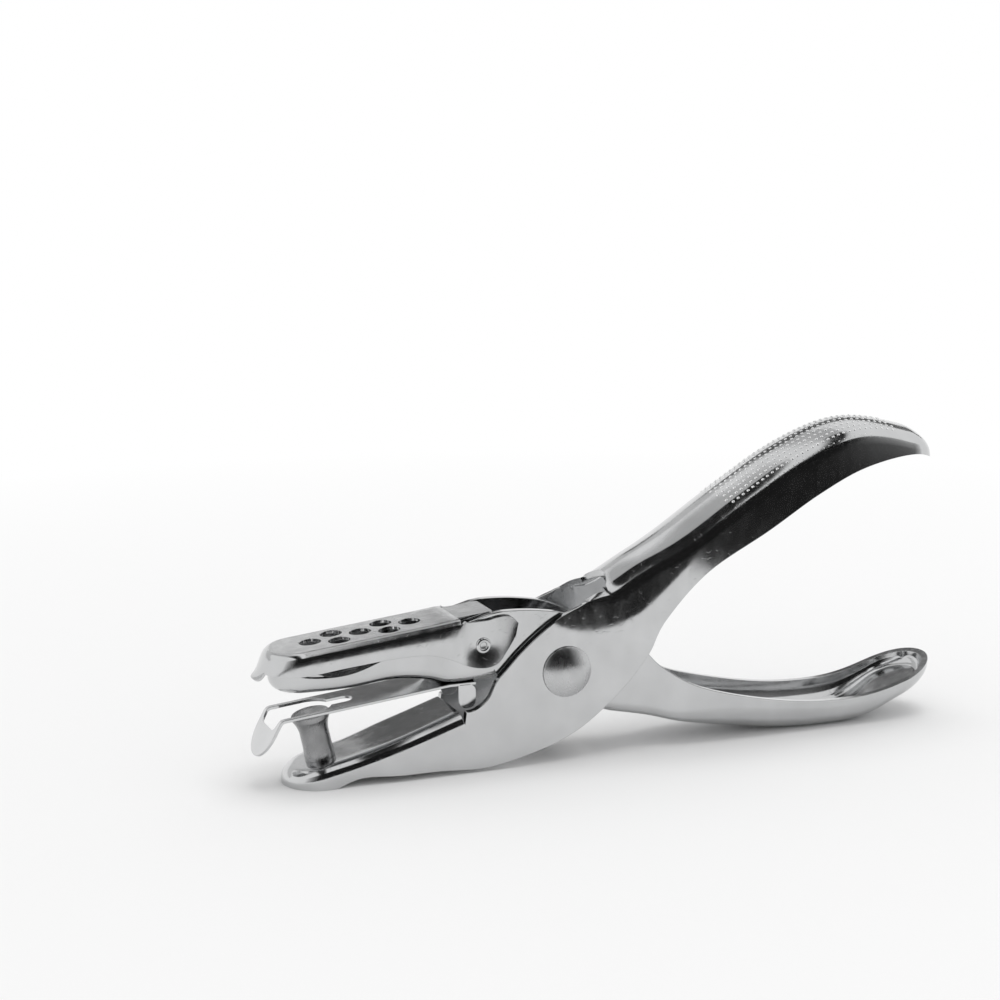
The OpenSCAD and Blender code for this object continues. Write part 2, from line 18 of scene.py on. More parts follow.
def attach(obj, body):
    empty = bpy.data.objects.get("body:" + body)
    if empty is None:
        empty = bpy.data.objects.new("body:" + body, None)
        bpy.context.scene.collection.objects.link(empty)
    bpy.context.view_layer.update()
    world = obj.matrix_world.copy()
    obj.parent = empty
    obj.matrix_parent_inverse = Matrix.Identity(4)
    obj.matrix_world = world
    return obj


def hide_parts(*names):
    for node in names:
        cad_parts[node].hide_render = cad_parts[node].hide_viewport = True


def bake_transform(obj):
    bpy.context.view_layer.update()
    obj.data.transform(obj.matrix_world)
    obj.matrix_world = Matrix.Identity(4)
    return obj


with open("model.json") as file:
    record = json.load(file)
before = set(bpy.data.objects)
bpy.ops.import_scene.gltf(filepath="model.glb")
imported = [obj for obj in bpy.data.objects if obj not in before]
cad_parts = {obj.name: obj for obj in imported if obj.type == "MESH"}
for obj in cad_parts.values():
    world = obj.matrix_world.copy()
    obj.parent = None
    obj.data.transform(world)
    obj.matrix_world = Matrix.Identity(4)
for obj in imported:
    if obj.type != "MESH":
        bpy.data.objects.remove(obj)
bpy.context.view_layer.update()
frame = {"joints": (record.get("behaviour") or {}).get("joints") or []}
scene = bpy.context.scene

PUNCH_BODY = "lower_jaw_lever"
DIE_BODY = "upper_jaw_lever"
COVER_BODY = "cover"
PIVOT = Vector(next(j for j in frame["joints"] if j["name"] == "lever_pivot")["pos_m"])
MM = 0.001

# Sizes of the CAD part
SHEET = 1.2
DIE_W = 10.8
PLATE_GAP = 0.15
PIVOT_H = 16
JAW_BEND = 2.1
UPPER_BEND = 3
LOWER_BEND = 2
HANDLE_W = 15.6
HANDLE_BACK_W = 14
JAW_LEN = 48.6
JAW_NOSE_W = 12.4
JAW_NOSE_H = 4
PAD_SLOPE = 12
UPPER_LEN = 73.4
DIE_LEN = 50.6
LOWER_LEN = 75
RIVET_D = 5
RIVET_HEAD_D = 8.8
RIVET_HEAD_H = 1.6
RIVET_CLEAR = 0.05
WIRE_D = 1
COIL_D = 7.4
COIL_TURNS = 4
COIL_GAP = 0.5
PIN_D = 6.4
PIN_H = 7.9
PIN_WAIST_D = 4.9
PIN_FOOT_D = 5.1
PIN_TAIL_D = 4
DIE_CLEAR = 0.15
STRIP_T = 0.5
STRIP_W = 9.4
STRIP_SLOPE = 6
TONGUE_LEN = 6.8
TONGUE_LEAN = 29
KEYHOLE_CLEAR = 0.5
KEYHOLE_W = 3.2
KEYHOLE_LEN = 5.8
EAR_H = 4
EAR_W = 3
STRIP_RIVET_D = 2.4
COVER_T = 0.6
COVER_GAP = 0.1
COVER_FLARE = 0.3
VENT_D = 3.7
VENT_PITCH = 8.7
VENT_ROW = 2.3
NUB_D = 2.4
NUB_CLEAR = 0.06
LIP_W = 4.4

DIE_HALF = DIE_W / 2
PLATE_HALF = DIE_HALF + PLATE_GAP + SHEET
FOOT = -PIVOT_H
RIM_TRIM = 0.3
UPPER_HALF = HANDLE_W / 2
UPPER_BACK = HANDLE_BACK_W / 2
LOWER_HALF = HANDLE_W / 2 - 0.2
LOWER_BACK = HANDLE_BACK_W / 2 + 0.1
NOSE_HALF = JAW_NOSE_W / 2


def heading(angle):
    return np.array([math.cos(math.radians(angle)), math.sin(math.radians(angle))])


def bearing(p):
    return math.degrees(math.atan2(p[1], p[0]))


# The pin, the strip, the die hole and the cover, as the CAD places them
NOSE_X = NOSE_HALF - JAW_LEN
PIN_FOOT = np.array([NOSE_X + 0.4, FOOT + JAW_NOSE_H])
PIN_TOP = PIN_FOOT + PIN_H * heading(90 + PAD_SLOPE)
SEAT_Z = -0.65
SEAT_FRONT = -20.5
SEAT_REAR = -15.8
STRIP_RIVET_X = -18.2
FOLD_R = 0.8
SLOT_X = PIN_TOP[0] - 0.1
STRIP_FOLD = SLOT_X - PIN_D / 2 - KEYHOLE_CLEAR - 1.8
STRIP_FOLD_Z = SEAT_Z + (STRIP_FOLD - SEAT_FRONT) * math.tan(math.radians(STRIP_SLOPE))
FOLD_C = np.array([STRIP_FOLD, STRIP_FOLD_Z]) - (FOLD_R + STRIP_T) * heading(90 + STRIP_SLOPE)
SLOT_FRONT = STRIP_FOLD - 1.7
SLOT_CORNER = 1.2
TONGUE_TOP = FOLD_C + (FOLD_R + STRIP_T) * heading(180 - TONGUE_LEAN)
TONGUE_TIP = TONGUE_TOP + TONGUE_LEN * heading(270 - TONGUE_LEAN)
DIE_FACE_Z = 0.35
DIE_X = -math.sqrt(PIN_TOP @ PIN_TOP - DIE_FACE_Z**2)
HINGE = (-15, 5.9)
COVER_HALF = DIE_HALF + COVER_GAP + COVER_T
COVER_NOSE = DIE_LEN + COVER_GAP + COVER_T + 0.7
COVER_SHOULDER = COVER_HALF - COVER_NOSE
COVER_SLOPE = 6.1
COVER_REAR = -18.8
COVER_REAR_Z = 10.5
TONGUE_REAR = -12.4
TONGUE_HALF = DIE_HALF - SHEET - 0.3
VENT_X = HINGE[0] - 11
COVER_BEND = 1.1


def pad_z(x):
    return PIN_FOOT[1] + (x - PIN_FOOT[0]) * math.tan(math.radians(PAD_SLOPE))


def cover_z(x):
    return COVER_REAR_Z + (x - COVER_REAR) * math.tan(math.radians(COVER_SLOPE))


# Rows along the sheet parts: open edge (x, z), back (x, z), half width at the edge and at the back
PUNCH_ROWS = np.array([
    [-JAW_LEN, FOOT - RIM_TRIM, -JAW_LEN, pad_z(-JAW_LEN), NOSE_HALF, NOSE_HALF],
    [NOSE_X, FOOT - RIM_TRIM, NOSE_X, pad_z(NOSE_X), NOSE_HALF, NOSE_HALF],
    [-36.8, FOOT + 1.3, -36.8, pad_z(-36.8), NOSE_HALF, NOSE_HALF],
    [-29.9, FOOT + 1.1, -29.8, -8.8, PLATE_HALF, PLATE_HALF],
    [-23, FOOT + 1, -24.4, -7.1, PLATE_HALF, PLATE_HALF],
    [-16.5, FOOT + 0.6, -19.1, -5.4, PLATE_HALF, PLATE_HALF],
    [-13.2, FOOT + 0.8, -16.6, -4.9, PLATE_HALF, PLATE_HALF],
    [-9.6, FOOT + 1.4, -14.3, -3.2, PLATE_HALF, PLATE_HALF],
    [-5.5, FOOT + 2.4, -12.8, -0.4, PLATE_HALF, PLATE_HALF],
    [-1.6, FOOT + 3.6, -11, 1.5, PLATE_HALF, PLATE_HALF],
    [2.6, FOOT + 5.6, -8.2, 4.3, PLATE_HALF, PLATE_HALF],
    [6, -8.1, -4.5, 7.3, PLATE_HALF, PLATE_HALF],
    [9, -5.7, -0.8, 9.7, PLATE_HALF, PLATE_HALF],
    [12, -2.8, 3.6, 11.5, PLATE_HALF, PLATE_HALF],
    [14.4, 0, 6.6, 13.5, PLATE_HALF, PLATE_HALF],
    [16, 2.2, 9.5, 14.7, PLATE_HALF, PLATE_HALF],
    [18.8, 7.2, 13.8, 16.8, PLATE_HALF, PLATE_HALF],
    [26.3, 15, 21.9, 21.4, UPPER_HALF - 0.4, UPPER_BACK],
    [38, 21.6, 33.3, 28.9, UPPER_HALF, UPPER_BACK],
    [47.8, 27.3, 44.9, 35.5, UPPER_HALF, UPPER_BACK],
    [57, 31.4, 56.4, 39.1, UPPER_HALF, UPPER_BACK],
    [67, 33.2, 67.2, 37.6, UPPER_HALF, UPPER_BACK],
    [UPPER_LEN, 31.6, UPPER_LEN, 34.4, UPPER_HALF, UPPER_BACK]])
# The upper handle's back is rounder than in the solid, and about as high at its middle
BACK_LEAN = 20
BACK_FIRST = 16
BACK_DROPS = (-0.27, 0.2, 0.43, 0.43, 0.43, 0.43, 0.43)
for row, drop in zip(PUNCH_ROWS[BACK_FIRST:], BACK_DROPS):
    row[2:4] += drop * (row[0:2] - row[2:4]) / norm(row[0:2] - row[2:4])
# Row numbers between which the back is open
PUNCH_SPINE_END = 5
PUNCH_FLAT_END = 12.8
# The cuts that shape the front of the upper handle's back: side view, arc in plan, and a block
BACK_FRONT = [(3.4, 11.45), (7.2, 12.8), (7.9, 13.4), (8.7, 18), (1, 18)]
FRONT_ARC = (1.5, 0, 8)
FRONT_ARC_Z = (13.2, 20)
FRONT_BLOCK = ((0, -5.3, 8), (8.2, 5.3, 20))

DIE_ROWS = np.array([
    [-DIE_LEN, 5, -DIE_LEN, DIE_FACE_Z, DIE_HALF, DIE_HALF],
    [DIE_HALF - DIE_LEN, 3.2, DIE_HALF - DIE_LEN, DIE_FACE_Z, DIE_HALF, DIE_HALF],
    [-38, 3.2, -38, DIE_FACE_Z, DIE_HALF, DIE_HALF],
    [-30.5, 5.8, -30.5, DIE_FACE_Z + 0.7, DIE_HALF, DIE_HALF],
    [-24.6, 8.4, -24.6, SEAT_Z + 1.1, DIE_HALF, DIE_HALF],
    [SEAT_FRONT, 9.3, SEAT_FRONT, SEAT_Z, DIE_HALF, DIE_HALF],
    [SEAT_REAR, 10.4, SEAT_REAR, SEAT_Z, DIE_HALF, DIE_HALF],
    [-13, 11.1, -12.8, SEAT_Z, DIE_HALF, DIE_HALF],
    [-9.9, 11.3, -9.5, -1.9, DIE_HALF, DIE_HALF],
    [-4.8, 10.9, -5.4, -5.2, DIE_HALF, DIE_HALF],
    [0.6, 9.8, 0.4, -7.2, DIE_HALF, DIE_HALF],
    [6, 7.3, 6.4, -7.9, DIE_HALF, DIE_HALF],
    [10.8, 4.7, 9.4, -8.8, DIE_HALF, DIE_HALF],
    [15.3, 1.8, 13.5, -9.7, DIE_HALF, DIE_HALF],
    [18.6, -1.4, 17.6, -10.7, DIE_HALF + 0.1, DIE_HALF],
    [24.2, -4.9, 23.2, -12.2, LOWER_HALF - 0.7, LOWER_BACK - 0.5],
    [31.5, -7.3, 30.6, FOOT + 2.2, LOWER_HALF, LOWER_BACK],
    [41.5, -9.5, 41, FOOT + 0.5, LOWER_HALF, LOWER_BACK],
    [50, -10.5, 50, FOOT, LOWER_HALF, LOWER_BACK],
    [59, -10.4, 59.4, FOOT + 0.5, LOWER_HALF, LOWER_BACK],
    [67, -8.6, 67, FOOT + 3.9, LOWER_HALF, LOWER_BACK],
    [LOWER_LEN, -5.5, LOWER_LEN, -8.7, LOWER_HALF, LOWER_BACK]])
DIE_SPINE_END = 7
DIE_SPINE_START = 11

# The cover's half widths are the same all along it
COVER_EDGE = COVER_HALF + COVER_FLARE
COVER_ROWS = np.array([[*row, COVER_EDGE, COVER_HALF] for row in [
    [-COVER_NOSE - 0.5, 3.8, 0.9 - COVER_NOSE, cover_z(0.9 - COVER_NOSE)],
    [COVER_SHOULDER, 3.8, COVER_SHOULDER, cover_z(COVER_SHOULDER)],
    [-39.3, 4.5, -39.3, cover_z(-39.3)],
    [-29.8, 5.3, -29.8, cover_z(-29.8)],
    [-24.4, 5.1, -23.6, cover_z(-23.6)],
    [-20.7, 4, COVER_REAR, COVER_REAR_Z],
    [-17.5, 2.5, -17.6, 10.1],
    [-14.7, 2, -14.2, 10.2],
    [-12.4, 2.6, -11.8, 10.6],
    [-10.8, 4.6, -9.9, 10.4],
    [-9.2, 7, -8.6, 9.2]]])
COVER_SPINE_END = 5

# Points across a sheet section, from an edge to the middle, stations round a closed end and from
# one row to the next, and the most of a section's height that a bend takes
FLANGE, ARC, BACK, END = 14, 8, 6, 18
ROW_STEPS, PLATE_STEPS = 8, 7
UPPER_STATIONS, LOWER_STATIONS = 79, 91
MOST_BEND = 0.75
HALF = FLANGE + ARC + BACK
ACROSS = 2 * HALF + 1


def along(rows, u):
    """The row at number u on a smooth curve through the table."""
    n = len(rows)
    i = min(int(math.floor(u)), n - 2)
    f = u - i
    a = rows[i - 1] if i > 0 else 2 * rows[0] - rows[1]
    b, c = rows[i], rows[i + 1]
    d = rows[i + 2] if i + 2 < n else 2 * rows[-1] - rows[-2]
    slope = (c - a) / 2
    bow = (2 * a - 5 * b + 4 * c - d) / 2
    twist = (3 * (b - c) + d - a) / 2
    return b + f * (slope + f * (bow + f * twist))


# A station: row number, angle round an end, which end, is the back open, bend, lean
def nose(bend):
    return [(1, 90 * (i + 0.5) / END, -1, False, bend, 0) for i in range(END - 1, -1, -1)]


def tip(rows, bend, lean):
    return [(len(rows) - 2, 90 * (i + 0.5) / END, 1, False, bend, lean) for i in range(END)]


def run(first, last, steps, bend, is_open=False):
    count = round(steps * (last - first))
    return [(first + (last - first) * i / count, 0, 0, is_open, bend, 0) for i in range(count + 1)]


def opened(first, last, steps):
    return run(first, last, steps, 0, True)


def flat(u, part, depth):
    return 0.0


def section(rows, station, depth, swell):
    """The points of one section of a channel at a depth in the sheet, from edge to edge.

    The bends stop short of the back by its lean, and the back goes on from there as a low crown.
    """
    u, angle, way, is_open, bend, lean = station
    reach = way * math.sin(math.radians(angle))
    end = along(rows, u + reach)
    most = MOST_BEND * math.hypot(end[2] - end[0], end[3] - end[1])
    radius = 0 if is_open else min(bend, most)
    length = 1
    if way:
        first, second = (0, 1) if way < 0 else (-1, -2)
        length = abs(rows[first][0] - rows[second][0])
    narrow = math.cos(math.radians(angle))
    half = []
    for k in range(HALF + 1):
        turn = math.radians((90 - lean) * min(max(k - FLANGE, 0) / ARC, 1))
        middle = max(k - FLANGE - ARC, 0) / BACK
        inset = radius - (radius - depth) * math.cos(turn)
        p = along(rows, u + reach * (1 - inset / length))
        edge, back = p[0:2], p[2:4]
        h = norm(back - edge)
        rise = (h - radius) * min(k / FLANGE, 1) + (radius - depth) * math.sin(turn)
        part = min(rise / h, 1)
        w = (p[4] + (p[5] - p[4]) * part + swell(u, part, depth) - inset) * narrow
        rise += math.tan(math.radians(lean)) * w / 2 * (1 - (1 - middle) ** 2)
        q = edge + (back - edge) / h * rise
        half.append((q[0], -w * (1 - middle), q[1]))
    return half + [(x, -y, z) for x, y, z in reversed(half[:-1])]


def to_row(points):
    """Points in millimetres from the rivet, in the row frame in metres."""
    return [PIVOT + Vector(p) * MM for p in points]


# Points nearer than this are one, and shorter edges go after a cut, in metres
SAME_POINT = 1e-8
SHORT_EDGE = 0.00004


def new_object(name, data):
    obj = bpy.data.objects.new(name, data)
    scene.collection.objects.link(obj)
    return obj


def mesh_object(name, points, faces):
    """An object of points in millimetres from the rivet, without loose points, facing outwards."""
    bm = bmesh.new()
    verts = [bm.verts.new(p) for p in to_row(points)]
    for f in faces:
        bm.faces.new([verts[i] for i in f])
    bmesh.ops.delete(bm, geom=[v for v in bm.verts if not v.link_faces], context="VERTS")
    bmesh.ops.remove_doubles(bm, verts=bm.verts, dist=SAME_POINT)
    bmesh.ops.recalc_face_normals(bm, faces=bm.faces)
    mesh = bpy.data.meshes.new(name)
    bm.to_mesh(mesh)
    bm.free()
    return new_object(name, mesh)


def channel(name, rows, stations, thick, closed_tip, swell=flat):
    """A pressed channel as one closed sheet. Where a station is open, the back is left out.

    The swell moves its sides in or out, from the row number, the part of the height and the depth.
    """
    count = len(stations)
    last = count - 1
    side = count * ACROSS
    points = [p for depth in (0, thick) for s in stations for p in section(rows, s, depth, swell)]

    def at(i, j):
        return i * ACROSS + j

    def filled(i, j):
        if not (0 <= i < last and 0 <= j < ACROSS - 1):
            return False
        flange = j < FLANGE or j >= ACROSS - 1 - FLANGE
        return flange or not (stations[i][3] or stations[i + 1][3])

    faces = []

    def skin(*ring):
        ring = list(dict.fromkeys(ring))
        faces.append(ring)
        faces.append([side + i for i in reversed(ring)])

    def wall(p, q):
        faces.append([q, p, side + p, side + q])

    for i in range(last):
        for j in range(ACROSS - 1):
            if not filled(i, j):
                continue
            skin(at(i, j), at(i, j + 1), at(i + 1, j + 1), at(i + 1, j))
            if not filled(i - 1, j) and i:
                wall(at(i, j), at(i, j + 1))
            if not filled(i + 1, j) and not (i == last - 1 and closed_tip):
                wall(at(i + 1, j + 1), at(i + 1, j))
            if not filled(i, j + 1):
                wall(at(i, j + 1), at(i + 1, j + 1))
            if not filled(i, j - 1):
                wall(at(i + 1, j), at(i, j))
    for i in [0] + ([last] if closed_tip else []):
        for j in range(HALF):
            skin(at(i, j), at(i, j + 1), at(i, ACROSS - 2 - j), at(i, ACROSS - 1 - j))
        wall(at(i, 0), at(i, ACROSS - 1))
    return mesh_object(name, points, faces)


# A turned shape's radius below which its point lies on the axis
ON_AXIS = 1e-6


def lathe(name, profile, segments, to_place):
    """A turned solid from (radius, height) points, placed by a function."""
    points, faces, rings = [], [], []
    for r, z in profile:
        if r < ON_AXIS:
            rings.append([len(points)])
            points.append(to_place((0, 0, z)))
        else:
            rings.append(list(range(len(points), len(points) + segments)))
            for k in range(segments):
                a = 2 * math.pi * k / segments
                points.append(to_place((r * math.cos(a), r * math.sin(a), z)))
    for low, high in zip(rings, rings[1:]):
        for k in range(segments):
            n = k + 1
            ring = [low[k % len(low)], low[n % len(low)], high[n % len(high)], high[k % len(high)]]
            ring = list(dict.fromkeys(ring))
            if len(ring) > 2:
                faces.append(ring)
    return mesh_object(name, points, faces)


def prism(name, outline, low, high, to_place):
    """An outline of (a, b) points, extruded from low to high, placed by a function."""
    n = len(outline)
    points = [to_place((a, b, level)) for level in (low, high) for a, b in outline]
    faces = [list(range(n - 1, -1, -1)), list(range(n, 2 * n))]
    faces += [[i, (i + 1) % n, n + (i + 1) % n, n + i] for i in range(n)]
    return mesh_object(name, points, faces)


def along_y(p):
    """Places an outline drawn in the side view: (x, z, y) to (x, y, z)."""
    return (p[0], p[2], p[1])


def turned(point, angle, origin):
    """Turns a point about the Y direction so that +Z leans towards -X, then shifts it."""
    c, s = math.cos(math.radians(angle)), math.sin(math.radians(angle))
    x, y, z = point
    return (origin[0] + c * x - s * z, y, origin[1] + s * x + c * z)


def circle(x, y, r, n=64, first=0.0, last=360.0):
    steps = n if last - first >= 360 else n + 1
    turns = [heading(first + (last - first) * i / n) for i in range(steps)]
    return [(x + r * c, y + r * s) for c, s in turns]


def applied(obj):
    """Makes the object's modifiers part of its mesh."""
    bpy.context.view_layer.update()
    shape = obj.evaluated_get(bpy.context.evaluated_depsgraph_get())
    mesh = bpy.data.meshes.new_from_object(shape)
    obj.modifiers.clear()
    old, obj.data = obj.data, mesh
    bpy.data.meshes.remove(old)


def remove(parts):
    for part in parts:
        mesh = part.data
        bpy.data.objects.remove(part)
        bpy.data.meshes.remove(mesh)


def boolean(obj, tools, operation):
    for tool in tools:
        mod = obj.modifiers.new("boolean", "BOOLEAN")
        mod.operation, mod.solver, mod.object = operation, "EXACT", tool
    applied(obj)
    remove(tools)
    bm = bmesh.new()
    bm.from_mesh(obj.data)
    bmesh.ops.dissolve_degenerate(bm, edges=bm.edges, dist=SHORT_EDGE)
    bm.to_mesh(obj.data)
    bm.free()


# A face whose normal has this share along a direction is square to it, and the least fold, in
# radians, that counts as a line there
SQUARE = 0.99999
LEAST_FOLD = 0.005


def merge_flat(mesh, up):
    """Takes out the grid lines of faces square to a direction, for clean rims of holes there."""
    bm = bmesh.new()
    bm.from_mesh(mesh)
    bm.normal_update()
    faces = {f for f in bm.faces if abs(f.normal.dot(up)) > SQUARE}
    edges = [e for e in bm.edges if all(f in faces for f in e.link_faces)]
    bmesh.ops.dissolve_limit(bm, angle_limit=LEAST_FOLD, verts=[], edges=edges)
    verts = [v for v in bm.verts if len(v.link_edges) == 2]
    bmesh.ops.dissolve_limit(bm, angle_limit=LEAST_FOLD, verts=verts, edges=[])
    bm.to_mesh(mesh)
    bm.free()


def cross_pin(x, z, d, reach):
    return prism("cutter", circle(x, z, d / 2), -reach, reach, along_y)


def block(low, high):
    outline = [(low[0], low[1]), (high[0], low[1]), (high[0], high[1]), (low[0], high[1])]
    return prism("cutter", outline, low[2], high[2], tuple)


def joined(name, parts):
    """One object from several that lie in the row frame."""
    bm = bmesh.new()
    for part in parts:
        bm.from_mesh(part.data)
    mesh = bpy.data.meshes.new(name)
    bm.to_mesh(mesh)
    bm.free()
    remove(parts)
    return new_object(name, mesh)


# Rounded sheet edges: usual width and the fold in degrees that counts as a corner, steps round an
# edge, widths of free sheet that a full edge needs, and rounds that even out a narrow place
SHEET_EDGE, CORNER = 0.14, 38
EDGE_STEPS = 3
EDGE_ROOM = 1.25
EDGE_ROUNDS = 4


def mark_edges(mesh, width, angle):
    """Marks the outer corners for the bevel, each with the share of the width that has room."""
    bm = bmesh.new()
    bm.from_mesh(mesh)
    weight = bm.edges.layers.float.new("bevel_weight_edge")
    folds = {e for e in bm.edges if e.calc_face_angle() > angle}
    inner = {vert for edge in folds if not edge.is_convex for vert in edge.verts}
    sharp = {e for e in folds if e.is_convex and not inner & set(e.verts)}
    corners = {vert for edge in sharp for vert in edge.verts}
    near = {edge: {e for vert in edge.verts for e in vert.link_edges} for edge in sharp}
    share = {}
    full = EDGE_ROOM * width
    for edge in sharp:
        room = full
        for beside in near[edge] - sharp:
            shared = all(vert in corners for vert in beside.verts)
            room = min(room, beside.calc_length() / (2 if shared else 1))
        share[edge] = room / full
    for _ in range(EDGE_ROUNDS):
        share = {edge: min(share[e] for e in near[edge] & sharp) for edge in sharp}
    for edge in sharp:
        edge[weight] = share[edge]
    bm.to_mesh(mesh)
    bm.free()


def finished(obj, material, body, nodes=(), edge=SHEET_EDGE, angle=CORNER):
    """Rounds the sheet's edges, smooths the faces, and puts the piece on its body."""
    mesh = obj.data
    mesh.polygons.foreach_set("use_smooth", [True] * len(mesh.polygons))
    mesh.set_sharp_from_angle(angle=math.radians(angle))
    if edge:
        mark_edges(mesh, edge * MM, math.radians(angle))
        bevel = obj.modifiers.new("edges", "BEVEL")
        bevel.limit_method = "WEIGHT"
        bevel.width, bevel.segments = edge * MM, EDGE_STEPS
        bevel.use_clamp_overlap, bevel.harden_normals = False, True
    smooth = obj.modifiers.new("normals", "WEIGHTED_NORMAL")
    smooth.keep_sharp = True
    mesh.materials.clear()
    mesh.materials.append(material)
    if body:
        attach(obj, body)
    if nodes:
        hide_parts(*nodes)
    return obj


EVEN = (1, 1, 1)


def set_inputs(node, values):
    for name, value in values.items():
        node.inputs[name].default_value = value


def in_millimetres(tree, stretch):
    """The object's own coordinates in millimetres, with a stretch."""
    place = tree.nodes.new("ShaderNodeTexCoord")
    shape = tree.nodes.new("ShaderNodeMapping")
    shape.inputs["Scale"].default_value = [s / MM for s in stretch]
    tree.links.new(place.outputs["Object"], shape.inputs["Vector"])
    return shape.outputs["Vector"]


def noise(tree, scale, stretch, detail, roughness=0.5):
    """A noise over the object, with millimetre scale and its own stretch."""
    tex = tree.nodes.new("ShaderNodeTexNoise")
    set_inputs(tex, {"Scale": scale, "Detail": detail, "Roughness": roughness})
    tree.links.new(in_millimetres(tree, stretch), tex.inputs["Vector"])
    return tex.outputs["Fac"]


def ramp(tree, value, low, high, from_low=0.3, from_high=0.7):
    node = tree.nodes.new("ShaderNodeMapRange")
    set_inputs(node, {"From Min": from_low, "From Max": from_high, "To Min": low, "To Max": high})
    tree.links.new(value, node.inputs["Value"])
    return node.outputs["Result"]


def maths(tree, operation, *values):
    """The result of an operation on one or two values."""
    node = tree.nodes.new("ShaderNodeMath")
    node.operation = operation
    for i, value in enumerate(values):
        tree.links.new(value, node.inputs[i])
    return node.outputs[0]


# Scuffs: distance from line to line, their width and depth, and the patches that have them
SCUFF_SPACING, SCUFF_WIDTH, SCUFF_DEPTH = 1.3, 0.03, 0.03
PATCH_SCALE, PATCH_NONE, PATCH_FULL = 0.8, 0.54, 0.66


def scuffs(tree):
    """Short hair scratches: the borders of a cell pattern, where a second pattern shows them."""
    cells = tree.nodes.new("ShaderNodeTexVoronoi")
    cells.feature = "DISTANCE_TO_EDGE"
    cells.inputs["Scale"].default_value = 1 / SCUFF_SPACING
    tree.links.new(in_millimetres(tree, EVEN), cells.inputs["Vector"])
    patches = noise(tree, PATCH_SCALE, EVEN, 2)
    lines = ramp(tree, cells.outputs["Distance"], 1, 0, 0, SCUFF_WIDTH)
    return maths(tree, "MULTIPLY", lines, ramp(tree, patches, 0, 1, PATCH_NONE, PATCH_FULL))


def bumped(tree, height, strength, depth, normal=None):
    """A bump node for a height pattern, on top of an earlier normal."""
    bump = tree.nodes.new("ShaderNodeBump")
    set_inputs(bump, {"Strength": strength, "Distance": depth * MM})
    tree.links.new(height, bump.inputs["Height"])
    if normal:
        tree.links.new(normal, bump.inputs["Normal"])
    return bump


def varied(tree, share, colour, shade):
    """Gives the surface a colour, darker by a shade where the share is low."""
    mix = tree.nodes.new("ShaderNodeMix")
    mix.data_type = "RGBA"
    set_inputs(mix, {"A": (*[c * (1 - shade) for c in colour], 1), "B": (*colour, 1)})
    tree.links.new(share, mix.inputs["Factor"])
    tree.links.new(mix.outputs["Result"], tree.nodes["Principled BSDF"].inputs["Base Color"])


# The tone of all the metals varies in blotches, and their roughness with a finer wear
BLOTCH_SCALE = 0.16
WEAR_SCALE, WEAR_STRETCH, WEAR_ROUGHNESS = 0.5, (1, 1, 0.35), 0.62


def metal(name, colour, shade, rough, bumps, scuff=0):
    """Polished metal: a colour that varies by shade, a range of roughness, bumps and scuffs."""
    material = bpy.data.materials.new(name)
    material.use_nodes = True
    tree = material.node_tree
    shader = tree.nodes["Principled BSDF"]
    shader.inputs["Metallic"].default_value = 1
    varied(tree, ramp(tree, noise(tree, BLOTCH_SCALE, EVEN, 3), 0, 1), colour, shade)
    wear = noise(tree, WEAR_SCALE, WEAR_STRETCH, 5, WEAR_ROUGHNESS)
    tree.links.new(ramp(tree, wear, *rough), shader.inputs["Roughness"])
    normal = None
    for scale, stretch, strength, depth in bumps:
        bump = bumped(tree, noise(tree, scale, stretch, 3), strength, depth, normal)
        normal = bump.outputs["Normal"]
    if scuff:
        bump = bumped(tree, scuffs(tree), scuff, SCUFF_DEPTH, normal)
        bump.invert = True
        normal = bump.outputs["Normal"]
    tree.links.new(normal, shader.inputs["Normal"])
    return material


# Colour, shade, range of roughness, and bumps as (scale, stretch, strength, depth)
CHROME = metal("chromed_sheet", (0.6, 0.605, 0.61), 0.1, (0.09, 0.17),
               [(0.35, EVEN, 0.06, 0.1), (2.2, (1.6, 1.6, 0.12), 0.05, 0.02)], scuff=0.16)
# The dots' chrome is painted much lighter than the handle's sheet they are pressed from: a painted
# glint on each dot
GLINT_DOT_CHROME = metal("chromed_dots_painted_glint", (0.94, 0.943, 0.947), 0.05, (0.28, 0.4),
                   [(1.4, EVEN, 0.1, 0.03)])
COVER_CHROME = metal("cover_sheet", (0.6, 0.605, 0.61), 0.1, (0.09, 0.18),
                     [(0.3, EVEN, 0.07, 0.1), (2.2, (0.12, 1.6, 1.6), 0.03, 0.02)], scuff=0.16)
RIVET_CHROME = metal("chromed_rivet", (0.56, 0.565, 0.57), 0.08, (0.2, 0.34),
                     [(1.1, EVEN, 0.1, 0.05)])
STRIP_STEEL = metal("spring_strip", (0.64, 0.645, 0.65), 0.06, (0.12, 0.22),
                    [(2.4, (0.1, 1.5, 1.5), 0.05, 0.02)])
PIN_STEEL = metal("pin_steel", (0.4, 0.402, 0.407), 0.35, (0.2, 0.36),
                  [(1.6, (0.5, 0.5, 4), 0.12, 0.03), (1.5, (2.2, 2.2, 0.16), 0.5, 0.04)])
WIRE_STEEL = metal("spring_wire", (0.42, 0.42, 0.43), 0.15, (0.2, 0.34),
                   [(2, EVEN, 0.1, 0.02)])

# Rows over which the handles' bends grow, and how much rounder the lower one gets than the solid
UPPER_GROWTH = 1.7
LOWER_GROWTH_START, LOWER_GROWTH = 14.3, 2.2
LOWER_ROUNDER = 2.4
# The lean of the outer side plates: rows, the arched line that it starts from, its rate, and how
# much later the inside follows
LEAN_START, LEAN_END, LEAN_FADE = 10, 17.5, 1.2
LEAN_X, LEAN_Z, LEAN_ARCH = 5, 5.75, 0.035
LEAN_RATE = 0.1
LEAN_LAG = 0.5
# Half the length of a cutter that goes right through
THROUGH = 10


def eased(t):
    t = min(max(t, 0), 1)
    return t * t * (3 - 2 * t)


def upper_bend(u):
    """The bend of the upper handle, which grows out of the flat side plates."""
    return UPPER_BEND * eased((u - PUNCH_FLAT_END) / UPPER_GROWTH)


